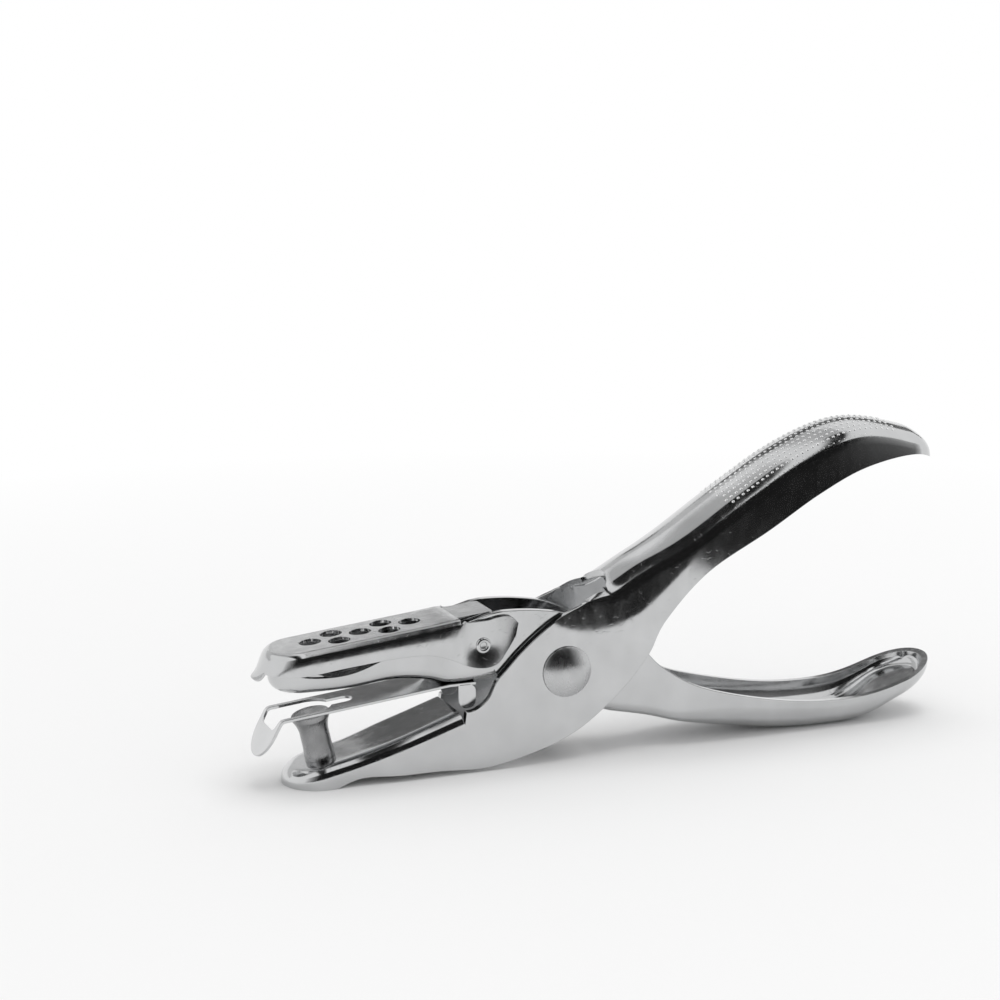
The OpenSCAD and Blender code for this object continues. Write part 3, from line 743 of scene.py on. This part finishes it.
def lower_bend(u):
    """The bend of the lower handle, which grows rounder behind the end of the spring's leg."""
    return LOWER_BEND + LOWER_ROUNDER * eased((u - LOWER_GROWTH_START) / LOWER_GROWTH)


def plate_top(u, part, depth):
    """Leans the side plates inwards at the top, where they go over into the handle."""
    if not LEAN_START < u < LEAN_END:
        return 0.0
    row = along(PUNCH_ROWS, u)
    x, z = row[0:2] + (row[2:4] - row[0:2]) * part
    rise = max(z - LEAN_Z - LEAN_ARCH * (x - LEAN_X) ** 2, 0)
    soft = rise**2 / 2 if rise < 1 else rise - 0.5
    lean = LEAN_RATE * soft * min((LEAN_END - u) / LEAN_FADE, 1)
    return -max(lean - LEAN_LAG, 0) if depth else -lean


# The outer lever: lower jaw, side plates and upper handle
first, last = PUNCH_FLAT_END + 0.3, len(PUNCH_ROWS) - 2
stations = (nose(JAW_BEND) + run(1, PUNCH_SPINE_END, ROW_STEPS, JAW_BEND)
            + opened(PUNCH_SPINE_END + 0.25, PUNCH_FLAT_END + 0.1, PLATE_STEPS)
            + [(u, 0, 0, False, upper_bend(u), BACK_LEAN)
               for u in np.linspace(first, last, UPPER_STATIONS)]
            + tip(PUNCH_ROWS, UPPER_BEND, BACK_LEAN))
punch_lever = channel("punch_lever_sheet", PUNCH_ROWS, stations, SHEET, True, plate_top)
bore = cross_pin(0, 0, RIVET_D, THROUGH)
handle_front = prism("cutter", BACK_FRONT, -THROUGH, THROUGH, along_y)
front_arc = prism("cutter", circle(*FRONT_ARC), *FRONT_ARC_Z, tuple)
front_block = block(*FRONT_BLOCK)
under_jaw = block((-JAW_LEN - 1, -9, FOOT - 2), (-1, 9, FOOT))
boolean(punch_lever, [bore, handle_front, front_arc, front_block, under_jaw], "DIFFERENCE")
finished(punch_lever, CHROME, PUNCH_BODY, ["punch_lever"])

# The inner lever: upper jaw, side plates and lower handle
last = len(DIE_ROWS) - 2
stations = (nose(JAW_BEND) + run(1, DIE_SPINE_END, ROW_STEPS, JAW_BEND)
            + opened(DIE_SPINE_END + 0.5, DIE_SPINE_START - 0.5, ROW_STEPS)
            + [(u, 0, 0, False, lower_bend(u), 0)
               for u in np.linspace(DIE_SPINE_START, last, LOWER_STATIONS)]
            + tip(DIE_ROWS, lower_bend(last), 0))
die_lever = channel("die_lever_sheet", DIE_ROWS, stations, SHEET, True)
bore = cross_pin(0, 0, RIVET_D + 2 * RIVET_CLEAR, THROUGH)
nub_holes = cross_pin(*HINGE, NUB_D + 2 * NUB_CLEAR, THROUGH)
die_rim = circle(DIE_X, 0, PIN_D / 2 + DIE_CLEAR)
die_hole = prism("cutter", die_rim, DIE_FACE_Z - 3, DIE_FACE_Z + 2 * SHEET, tuple)
strip_seat = block((SEAT_FRONT, -DIE_HALF, SEAT_Z - 1), (SEAT_REAR, DIE_HALF, SEAT_Z))
boolean(die_lever, [bore, nub_holes, die_hole, strip_seat], "DIFFERENCE")
finished(die_lever, CHROME, DIE_BODY, ["die_lever"])


def back_point(u, t, lift):
    """A point over the upper handle's back: t counts across the surface, lift stands off it."""
    p = along(PUNCH_ROWS, u)
    edge, back = p[0:2], p[2:4]
    up = (back - edge) / norm(back - edge)
    lean = math.radians(BACK_LEAN)
    wide = p[5] - UPPER_BEND * (1 - math.sin(lean))
    low = UPPER_BEND * (math.cos(lean) - 1)
    crown = math.tan(lean) * wide / 2
    if abs(t) <= wide:
        across, rise = abs(t), low + crown * (1 - (t / wide) ** 2)
        lean = math.atan(2 * crown * abs(t) / wide**2)
    else:
        lean += (abs(t) - wide) / UPPER_BEND
        across = p[5] - UPPER_BEND * (1 - math.sin(lean))
        rise = UPPER_BEND * (math.cos(lean) - 1)
    q = back + up * (rise + lift * math.cos(lean))
    return np.array([q[0], math.copysign(across + lift * math.sin(lean), t), q[1]])


# The grip: rows of the handle where it starts and ends, the step of a search along it, lines of
# dots on each side, distances along and across, a dot's size, and its rings as shares of that
GRIP_START, GRIP_END, GRIP_STEP = 17.75, 20.7, 0.004
DOT_LINES, DOT_PITCH, DOT_ROW = 6, 1.13, 1.28
DOT_R, DOT_H = 0.3, 0.13
DOT_SIDES = 10
DOT_RINGS = ((1, -0.05), (0.8, 0.5), (0.45, 0.85))


def grip_dots():
    """Small round bumps in staggered rows over the grip of the upper handle."""
    points, faces = [], []
    line, travelled, u = [], 0.0, GRIP_START
    before = back_point(u, 0, 0)
    while u < GRIP_END:
        u += GRIP_STEP
        here = back_point(u, 0, 0)
        travelled += norm(here - before)
        before = here
        if travelled >= DOT_PITCH / 2:
            travelled -= DOT_PITCH / 2
            line.append(u)
    for n, u in enumerate(line):
        for m in range(-DOT_LINES, DOT_LINES):
            if (m + n) % 2:
                continue
            t = (m + 0.5) * DOT_ROW
            centre = back_point(u, t, 0)
            out = back_point(u, t, 1) - centre
            forward = back_point(u + 0.01, t, 0) - centre
            forward -= out * (forward @ out)
            forward /= norm(forward)
            side = np.cross(out, forward)
            low = len(points)
            for size, level in DOT_RINGS:
                for k in range(DOT_SIDES):
                    a = 2 * math.pi * k / DOT_SIDES
                    spoke = forward * math.cos(a) + side * math.sin(a)
                    points.append(centre + spoke * DOT_R * size + out * DOT_H * level)
            top = len(points)
            points.append(centre + out * DOT_H)
            while low < top - DOT_SIDES:
                high = low + DOT_SIDES
                for k in range(DOT_SIDES):
                    after = (k + 1) % DOT_SIDES
                    faces.append([low + k, low + after, high + after, high + k])
                low = high
            faces += [[low + k, low + (k + 1) % DOT_SIDES, top] for k in range(DOT_SIDES)]
    return mesh_object("grip_dots", points, faces)


finished(grip_dots(), GLINT_DOT_CHROME, PUNCH_BODY, edge=0, angle=70)

# The rivet: a shank with two domed heads, each on a thin straight rim
RIVET_RIM = 0.3
DOME_STEPS = 13
ROUND = 96
dome = [(RIVET_HEAD_D / 2, PLATE_HALF)]
rise = RIVET_HEAD_H - RIVET_RIM
ball = (RIVET_HEAD_D**2 / 4 + rise**2) / (2 * rise)
for i in range(DOME_STEPS + 1):
    z = rise * i / DOME_STEPS
    dome.append((math.sqrt(max(ball**2 - (z + ball - rise) ** 2, 0)), PLATE_HALF + RIVET_RIM + z))
profile = dome[::-1] + [(RIVET_D / 2, PLATE_HALF), (RIVET_D / 2, -PLATE_HALF)]
profile += [(r, -z) for r, z in dome]
rivet = lathe("rivet", profile, ROUND, along_y)
finished(rivet, RIVET_CHROME, PUNCH_BODY, ["pivot_rivet"], edge=0.07, angle=40)


# The spring: rows that its legs bear on, their gap to the sheet, degrees from ring to ring, and
# points round the wire
UPPER_SEAT, LOWER_SEAT = 16, 13
LEG_GAP = 0.1
COIL_STEP = 5
WIRE_SIDES = 14


def seat_in(row):
    """The place of a leg's end against the back of a row."""
    back, edge = row[2:4], row[0:2]
    return back + (SHEET + WIRE_D / 2 + LEG_GAP) * (edge - back) / norm(edge - back)


def spring():
    """The return spring: a coil on the rivet's axis, with a leg under each handle."""
    upper, lower = seat_in(PUNCH_ROWS[UPPER_SEAT]), seat_in(DIE_ROWS[LOWER_SEAT])
    radius = COIL_D / 2

    def tangent(p):
        return 90 - math.degrees(math.asin(radius / norm(p)))

    first = bearing(upper) + tangent(upper)
    last = bearing(lower) - tangent(lower) + 360 * COIL_TURNS
    width = (WIRE_D + COIL_GAP) * (last - first) / 360
    rings = int((last - first) / COIL_STEP)
    line = [np.array([upper[0], -width / 2, upper[1]])]
    for i in range(rings + 1):
        p = radius * heading(first + (last - first) * i / rings)
        line.append(np.array([p[0], width * (i / rings - 0.5), p[1]]))
    line.append(np.array([lower[0], width / 2, lower[1]]))
    sides = WIRE_SIDES
    points, faces = [], []
    for i, p in enumerate(line):
        t = line[min(i + 1, len(line) - 1)] - line[max(i - 1, 0)]
        t /= norm(t)
        a = np.cross(t, [0, 1, 0])
        a /= norm(a)
        b = np.cross(t, a)
        for k in range(sides):
            c, s = math.cos(2 * math.pi * k / sides), math.sin(2 * math.pi * k / sides)
            points.append(p + WIRE_D / 2 * (a * c + b * s))
    for i in range(len(line) - 1):
        for k in range(sides):
            n = (k + 1) % sides
            faces.append([i * sides + k, (i + 1) * sides + k, (i + 1) * sides + n, i * sides + n])
    faces.append(list(range(sides)))
    faces.append(list(range(len(points) - 1, len(points) - 1 - sides, -1)))
    return mesh_object("spring", points, faces)


spring_piece = finished(spring(), WIRE_STEEL, None, ["return_spring"], edge=0.1)
# The spring goes over from one lever to the other across the rivet
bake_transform(spring_piece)


def on_pad(p):
    return turned(p, PAD_SLOPE, PIN_FOOT)


def rivet_head(r, h, steps):
    """Half the outline of a low rivet head, from its rim up: (radius, height) points."""
    turns = [heading(90 / steps * i) for i in range(steps)]
    return [(r * c, h * s) for c, s in turns]


# The pin: a turned body with a hollow cutting face, and its staked tail under the jaw
PIN_HOLLOW, PIN_LAND, PIN_BASE = 0.6, 0.75, 0.9
HOLLOW_STEPS, SIDE_STEPS = 8, 24
FLARE_END, SPREAD_START = 0.42, 0.72
TAIL_RIM, TAIL_H = 0.7, 0.8
half_shape = [(0, PIN_H - PIN_HOLLOW)]
for i in range(1, HOLLOW_STEPS + 1):
    r = PIN_D / 2 * i / HOLLOW_STEPS
    half_shape.append((r, PIN_H - PIN_HOLLOW * (1 - (2 * r / PIN_D) ** 2)))
half_shape.append((PIN_D / 2, PIN_H - PIN_LAND))
for i in range(1, SIDE_STEPS + 1):
    f = i / SIDE_STEPS
    z = PIN_H - PIN_LAND + (PIN_BASE - PIN_H + PIN_LAND) * f
    flare = max(0, 1 - f / FLARE_END) ** 2 * (PIN_D - PIN_WAIST_D) / 2
    spread = max(0, (f - SPREAD_START) / (1 - SPREAD_START)) ** 2 * (PIN_FOOT_D - PIN_WAIST_D) / 2
    half_shape.append((PIN_WAIST_D / 2 + flare + spread, z))
half_shape += [(PIN_FOOT_D / 2, 0), (PIN_TAIL_D / 2, 0), (PIN_TAIL_D / 2, -SHEET)]
half_shape += [(r, -SHEET - z) for r, z in rivet_head(PIN_TAIL_D / 2 + TAIL_RIM, TAIL_H, 10)]
half_shape.append((0, -SHEET - TAIL_H))
pin = lathe("pin", half_shape, ROUND, on_pad)
finished(pin, PIN_STEEL, PUNCH_BODY, ["punch_pin"], edge=0.05, angle=40)


# Steps round the strip's fold, and the radii of its ears' lower and rear corners
FOLD_STEPS = 14
EAR_R, EAR_REAR_R = 1.2, 1.4


def strip():
    """The spring strip: a sloping sheet with a fold, a round tongue, a keyhole and two ears."""
    turn = (90 - STRIP_SLOPE - TONGUE_LEAN) / FOLD_STEPS

    def fold(r):
        turns = [90 + STRIP_SLOPE + turn * i for i in range(FOLD_STEPS + 1)]
        return [tuple(FOLD_C + r * heading(a)) for a in turns]

    top = [(SEAT_REAR, SEAT_Z), (SEAT_FRONT, SEAT_Z)] + fold(FOLD_R + STRIP_T) + [tuple(TONGUE_TIP)]
    bottom = [(SEAT_REAR, SEAT_Z - STRIP_T),
              (SEAT_FRONT - STRIP_T * math.tan(math.radians(STRIP_SLOPE / 2)), SEAT_Z - STRIP_T)]
    bottom += fold(FOLD_R) + [tuple(TONGUE_TIP + STRIP_T * heading(-TONGUE_LEAN))]
    sheet = prism("strip_sheet", top + bottom[::-1], -STRIP_W / 2, STRIP_W / 2, along_y)
    wide = PIN_D / 2 + KEYHOLE_CLEAR
    narrow = KEYHOLE_W / 2
    neck = math.degrees(math.asin(narrow / wide))
    corner_x, corner_y = SLOT_FRONT + SLOT_CORNER, wide - SLOT_CORNER
    keyhole = circle(SLOT_X + KEYHOLE_LEN, 0, narrow, 24, -90, 90)
    keyhole += circle(SLOT_X, 0, wide, 32, neck, 90)
    keyhole += circle(corner_x, corner_y, SLOT_CORNER, 12, 90, 180)
    keyhole += circle(corner_x, -corner_y, SLOT_CORNER, 12, 180, 270)
    keyhole += circle(SLOT_X, 0, wide, 32, 270, 360 - neck)
    hole = prism("cutter", keyhole, STRIP_FOLD_Z - 5, STRIP_FOLD_Z + 5, tuple)
    half = STRIP_W / 2
    end = [(half, half + 1), (half, -half - 1), (-half, -half - 1)]
    end += [(a - half, b) for a, b in circle(0, 0, half, 48, -90, 90)] + [(-half, half + 1)]

    def on_tongue(p):
        along_tongue, across, out = p
        q = TONGUE_TIP + along_tongue * heading(270 - TONGUE_LEAN)
        q = q + out * heading(180 - TONGUE_LEAN)
        return (q[0], across, q[1])

    corners = prism("cutter", end, -3, 3, on_tongue)
    boolean(sheet, [hole, corners], "DIFFERENCE")
    parts = [sheet]
    r = EAR_REAR_R
    ear = circle(EAR_W - r, STRIP_T / 2 - r, r, 10, 0, 90) + [(0, STRIP_T / 2)]
    r = EAR_R
    ear += circle(r, r - EAR_H, r, 10, 180, 270) + circle(EAR_W - r, r - EAR_H, r, 10, 270, 360)
    for side in (-1, 1):
        y = side * (STRIP_W - STRIP_T) / 2
        parts.append(prism("ear", ear, y - STRIP_T / 2, y + STRIP_T / 2,
                           lambda p: (SEAT_REAR - EAR_W + p[0], p[2], SEAT_Z - STRIP_T + p[1])))
    return joined("strip", parts)


finished(strip(), STRIP_STEEL, DIE_BODY, ["stripper_plate"], edge=0.08)

# The rivet that holds the strip, with a low head on each side
STRIP_RIVET_RIM, STRIP_RIVET_H = 0.9, 0.8
grip = SHEET + STRIP_T
head = rivet_head(STRIP_RIVET_D / 2 + STRIP_RIVET_RIM, STRIP_RIVET_H, 9) + [(0, STRIP_RIVET_H)]
profile = [(r, grip + z) for r, z in head[::-1]]
profile += [(STRIP_RIVET_D / 2, grip), (STRIP_RIVET_D / 2, 0)] + [(r, -z) for r, z in head]
strip_rivet = lathe("strip_rivet", profile, 48,
                    lambda p: (STRIP_RIVET_X + p[0], p[1], SEAT_Z - STRIP_T + p[2]))
finished(strip_rivet, PIN_STEEL, DIE_BODY, ["stripper_rivet"], edge=0.04, angle=60)


# The lip: side view, thickness, half width at its root as a share of its width, how much narrower
# it gets, where its round end starts and the length of that, and the radius of the wall it leaves
LIP_LINE = np.array([(-51.8, 5.3), (-52.2, 4.3), (-52.62, 3.5), (-53.05, 2.98), (-53.45, 2.72)])
LIP_T = 0.36
LIP_ROOT, LIP_TAPER = 0.62, 0.9
LIP_END, LIP_END_LEN = 0.72, 0.3
LIP_WALL_R = 6.6


def lip():
    """The lip at the cover's nose: a tab that leaves the front wall and curls outwards."""
    steps, wide = 12, 12
    points = []
    for side in (0, 1):
        for i in range(steps + 1):
            f = i / steps
            x, z = along(LIP_LINE, f * (len(LIP_LINE) - 1))
            half = LIP_ROOT * LIP_W - LIP_TAPER * f
            half *= math.sqrt(1 - max(0, (f - LIP_END) / LIP_END_LEN) ** 2)
            for k in range(wide + 1):
                y = half * (2 * k / wide - 1)
                back = (LIP_WALL_R - math.sqrt(LIP_WALL_R**2 - y * y)) * (1 - 0.5 * f)
                points.append((x + back + LIP_T * side, y, z - LIP_T * side * f))
    size = (steps + 1) * (wide + 1)

    def at(i, k):
        return i * (wide + 1) + k

    faces = []
    for i in range(steps):
        for k in range(wide):
            ring = [at(i, k), at(i + 1, k), at(i + 1, k + 1), at(i, k + 1)]
            faces += [ring, [size + n for n in reversed(ring)]]
    rim = [at(0, k) for k in range(wide)] + [at(i, wide) for i in range(steps)]
    rim += [at(steps, k) for k in range(wide, 0, -1)] + [at(i, 0) for i in range(steps, 0, -1)]
    faces += [[a, b, size + b, size + a] for a, b in zip(rim, rim[1:] + rim[:1])]
    return mesh_object("lip", points, faces)


# The cover's sides: how far the lid's are round, rows over which a side becomes an ear, how far the
# ears flare, the row and the length where that ends, and the dish that is pressed round the hinge
LID_ROUND = 0.66
EAR_START, EAR_GROWTH = 4.5, 1.5
EAR_FLARE, FLARE_LAST, FLARE_FADE = 0.18, 10, 3.5
DISH_DEPTH, DISH_R = 0.3, 2.5
# The rear tongue's corners and its step down from the lid, and a nub's rolled rim and hollow
TONGUE_R, TONGUE_STEP = 0.7, 0.01
NUB_RIM, NUB_ROLL = np.array([0.95, 0.2]), np.array([0.4, 0.36])
NUB_HOLLOW_R, NUB_HOLLOW = 0.4, 0.5


def cover_swell(u, part, depth):
    """The lid's sides are slightly round, and the ears flare out towards their lower edge."""
    ear = min(max(u - EAR_START, 0) / EAR_GROWTH, 1)
    flare = EAR_FLARE * ear * min(max(FLARE_LAST - u, 0) / FLARE_FADE, 1)
    return LID_ROUND * part * (1 - part) * (1 - ear) + flare * (1 - part) ** 2


def cover():
    """The chip cover: a lid with vents, a lip, a rear tongue and two ears on pressed nubs."""
    stations = (nose(COVER_BEND) + run(1, COVER_SPINE_END, ROW_STEPS, COVER_BEND)
                + opened(COVER_SPINE_END + 0.5, len(COVER_ROWS) - 1, ROW_STEPS))
    shell = channel("cover_shell", COVER_ROWS, stations, COVER_T, False, cover_swell)
    for vert in shell.data.vertices:
        x, y, z = (vert.co - PIVOT) / MM
        if abs(y) > TONGUE_HALF:
            away = math.hypot(x - HINGE[0], z - HINGE[1])
            vert.co.y -= math.copysign(DISH_DEPTH * MM * math.exp(-(away / DISH_R) ** 2), y)
    vents = [(VENT_X - i * VENT_PITCH, 0) for i in range(3)]
    for i in range(2):
        vents += [(VENT_X - (i + 0.5) * VENT_PITCH, side * VENT_ROW) for side in (-1, 1)]
    cutters = [prism("cutter", circle(0, y, VENT_D / 2), -3, 3,
                     lambda p, x=x: turned(p, COVER_SLOPE, (x, cover_z(x)))) for x, y in vents]
    boolean(shell, cutters, "DIFFERENCE")
    merge_flat(shell.data, Vector(turned((0, 0, 1), COVER_SLOPE, (0, 0))))
    parts = [shell]
    r = TONGUE_R
    length = TONGUE_REAR - COVER_REAR
    slab = [(-1, TONGUE_HALF), (-1, -TONGUE_HALF)]
    slab += circle(length - r, r - TONGUE_HALF, r, 8, 270, 360)
    slab += circle(length - r, TONGUE_HALF - r, r, 8, 0, 90)
    parts.append(prism("tongue", slab, -COVER_T, -TONGUE_STEP,
                       lambda p: turned(p, COVER_SLOPE, (COVER_REAR, COVER_REAR_Z))))
    parts.append(lip())
    nub = COVER_HALF - DIE_HALF + SHEET - COVER_T / 2
    for side in (-1, 1):
        ring = [tuple(NUB_RIM + NUB_ROLL * heading(a)) for a in range(180, -1, -20)]
        ring += [(NUB_D / 2, -nub), (0, -nub), (0, -NUB_HOLLOW), (NUB_HOLLOW_R, -NUB_HOLLOW)]
        parts.append(lathe("nub", ring + [ring[0]], 48, lambda p, side=side: (
            HINGE[0] + p[0], side * (COVER_HALF - COVER_T / 2 + p[2]), HINGE[1] + p[1])))
    return joined("cover_sheet", parts)


finished(cover(), COVER_CHROME, COVER_BODY, ["chip_cover"], edge=0.08)


# The mottle of the stage
MOTTLE_SCALE, MOTTLE_SHADE = 0.004, 0.02


def plain(name, grey):
    """A matt grey surface for the stage, with a very faint mottle."""
    material = bpy.data.materials.new(name)
    material.use_nodes = True
    tree = material.node_tree
    set_inputs(tree.nodes["Principled BSDF"], {"Roughness": 0.9, "Specular IOR Level": 0.1})
    varied(tree, noise(tree, MOTTLE_SCALE, EVEN, 2), (grey, grey, grey), MOTTLE_SHADE)
    return material


def seen(tree):
    """One for rays from the camera and for rays that metal or glass passes on, and else zero."""
    rays = tree.nodes.new("ShaderNodeLightPath")
    value = rays.outputs["Is Camera Ray"]
    for kind in ("Is Glossy Ray", "Is Transmission Ray"):
        value = maths(tree, "MAXIMUM", value, rays.outputs[kind])
    return value


def surface(tree, share, first, second):
    """Makes a material's surface a mix of two shaders."""
    mix = tree.nodes.new("ShaderNodeMixShader")
    for i, value in enumerate((share, first, second)):
        tree.links.new(value, mix.inputs[i])
    tree.links.new(mix.outputs["Shader"], tree.nodes["Material Output"].inputs["Surface"])


# Distances at which the floor starts to go over into white, and is all white
FLOOR_NEAR, FLOOR_FAR = 0.08, 0.3


def white_far_off(material):
    """Makes a floor go over into plain white to the eye, away from the part."""
    tree = material.node_tree
    place = tree.nodes.new("ShaderNodeTexCoord")
    reach = tree.nodes.new("ShaderNodeVectorMath")
    reach.operation = "LENGTH"
    glow = tree.nodes.new("ShaderNodeEmission")
    tree.links.new(place.outputs["Object"], reach.inputs[0])
    away = ramp(tree, reach.outputs["Value"], 0, 1, FLOOR_NEAR, FLOOR_FAR)
    share = maths(tree, "MULTIPLY", away, seen(tree))
    paint = tree.nodes["Principled BSDF"]
    surface(tree, share, paint.outputs["BSDF"], glow.outputs["Emission"])


def fades(material, clear_at, full_at):
    """Makes a card thin out along X, the same on both sides of the middle, to give no hard line."""
    tree = material.node_tree
    place = tree.nodes.new("ShaderNodeTexCoord")
    parts = tree.nodes.new("ShaderNodeSeparateXYZ")
    clear = tree.nodes.new("ShaderNodeBsdfTransparent")
    tree.links.new(place.outputs["Object"], parts.inputs[0])
    aside = maths(tree, "ABSOLUTE", parts.outputs["X"])
    share = ramp(tree, aside, 0, 1, clear_at, full_at)
    surface(tree, share, clear.outputs["BSDF"], tree.nodes["Principled BSDF"].outputs["BSDF"])


def stage_sheet(name, line, left, right, material):
    """A sheet for the stage: a line of (y, z) points, drawn out along X from left to right."""
    mesh = bpy.data.meshes.new(name)
    points = [(x, y, z) for y, z in line for x in (left, right)]
    corners = range(0, 2 * len(line) - 2, 2)
    mesh.from_pydata(points, [], [[i, i + 1, i + 3, i + 2] for i in corners])
    mesh.materials.append(material)
    obj = new_object(name, mesh)
    return obj


def reflected_card(name, line, left, right, material):
    """A card that shows only as a reflection, as a photographer puts beside shiny things."""
    card = stage_sheet(name, line, left, right, material)
    card.visible_camera = card.visible_diffuse = card.visible_shadow = False


WHITE = plain("pale_floor", 0.88)
white_far_off(WHITE)
FRONT_BLACK = plain("front_card", 0.015)
fades(FRONT_BLACK, 1.6, 0.4)
TOP_BLACK = plain("top_card", 0.015)
fades(TOP_BLACK, 0.09, 0.15)
HIGH_GREY = plain("high_card", 0.75)
fades(HIGH_GREY, 0.06, 0.15)
REAR_PALE = plain("rear_left_card", 0.85)
REAR_GREY = plain("rear_right_card", 0.16)

# The cards as (y, z) lines, from in front of the part over its top to behind it, and their ends
# along X. The low card lies flat behind the jaws, and darkens the pad under the pin.
FLOOR_REACH = 3
FRONT_LINE = [(-0.165, 0.0005), (-0.75, 0.0005), (-0.85, 0.35), (-0.7, 0.8)]
TOP_LINE = [(-0.7, 0.8), (-0.35, 1), (0, 1.05), (0.3, 1.02)]
HIGH_LINE = [(0.3, 1.02), (0.55, 0.95), (1, 0.73)]
REAR_LINE = [(1, 0.73), (1, 0.38)]
LOW_LINE = [(0.033, 0.03), (0.072, 0.03)]
CARD_REACH = 1.6
TOP_LEFT, TOP_RIGHT = -0.45, 0.3
REAR_SPLIT = 0.12
LOW_LEFT, LOW_RIGHT = -0.041, -0.012
stage_sheet("floor", [(-FLOOR_REACH, 0), (FLOOR_REACH, 0)], -FLOOR_REACH, FLOOR_REACH, WHITE)
reflected_card("front_card", FRONT_LINE, -CARD_REACH, CARD_REACH, FRONT_BLACK)
reflected_card("top_card", TOP_LINE, TOP_LEFT, TOP_RIGHT, TOP_BLACK)
reflected_card("high_card", HIGH_LINE, TOP_LEFT, TOP_RIGHT, HIGH_GREY)
reflected_card("rear_left_card", REAR_LINE, -CARD_REACH, REAR_SPLIT, REAR_PALE)
reflected_card("rear_right_card", REAR_LINE, REAR_SPLIT, CARD_REACH, REAR_GREY)
reflected_card("low_card", LOW_LINE, LOW_LEFT, LOW_RIGHT, REAR_GREY)


def soft_box(name, place, aim, size, power):
    light = bpy.data.lights.new(name, "AREA")
    light.shape, light.size, light.size_y, light.energy = "RECTANGLE", size[0], size[1], power
    obj = new_object(name, light)
    obj.location = place
    obj.rotation_mode = "QUATERNION"
    obj.rotation_quaternion = (Vector(aim) - Vector(place)).to_track_quat("-Z", "Y")
    obj.visible_glossy = False


soft_box("top_light", place=(0.1, 0, 0.7), aim=(0, 0, 0.02), size=(0.5, 0.4), power=1.7)

world = bpy.data.worlds.new("studio")
scene.world = world
world.use_nodes = True
sky = world.node_tree
sky.nodes["Background"].inputs["Color"].default_value = (1, 1, 1, 1)
# The world lights a little less than it shows
SKY_LIGHT = 0.8
sky.links.new(ramp(sky, seen(sky), SKY_LIGHT, 1, 0, 1), sky.nodes["Background"].inputs["Strength"])

# The camera as worked out from the photo: place from the rivet, turn and downward pitch, and lens
CAMERA_PLACE = (-0.1460, -0.3377, 0.1020)
CAMERA_TURN, CAMERA_PITCH = math.radians(22), math.radians(11.3)
CAMERA_LENS, CAMERA_SENSOR = 79.2, 36
scene.view_settings.view_transform = "Standard"
camera = new_object("camera", bpy.data.cameras.new("camera"))
camera.data.sensor_width = CAMERA_SENSOR
camera.data.lens = CAMERA_LENS
camera.data.clip_start = 0.01
camera.data.dof.use_dof = False
camera.location = PIVOT + Vector(CAMERA_PLACE)
ahead = math.cos(CAMERA_PITCH)
aim = Vector((math.sin(CAMERA_TURN) * ahead, math.cos(CAMERA_TURN) * ahead,
              -math.sin(CAMERA_PITCH)))
camera.rotation_mode = "QUATERNION"
camera.rotation_quaternion = aim.to_track_quat("-Z", "Y")
scene.camera = camera
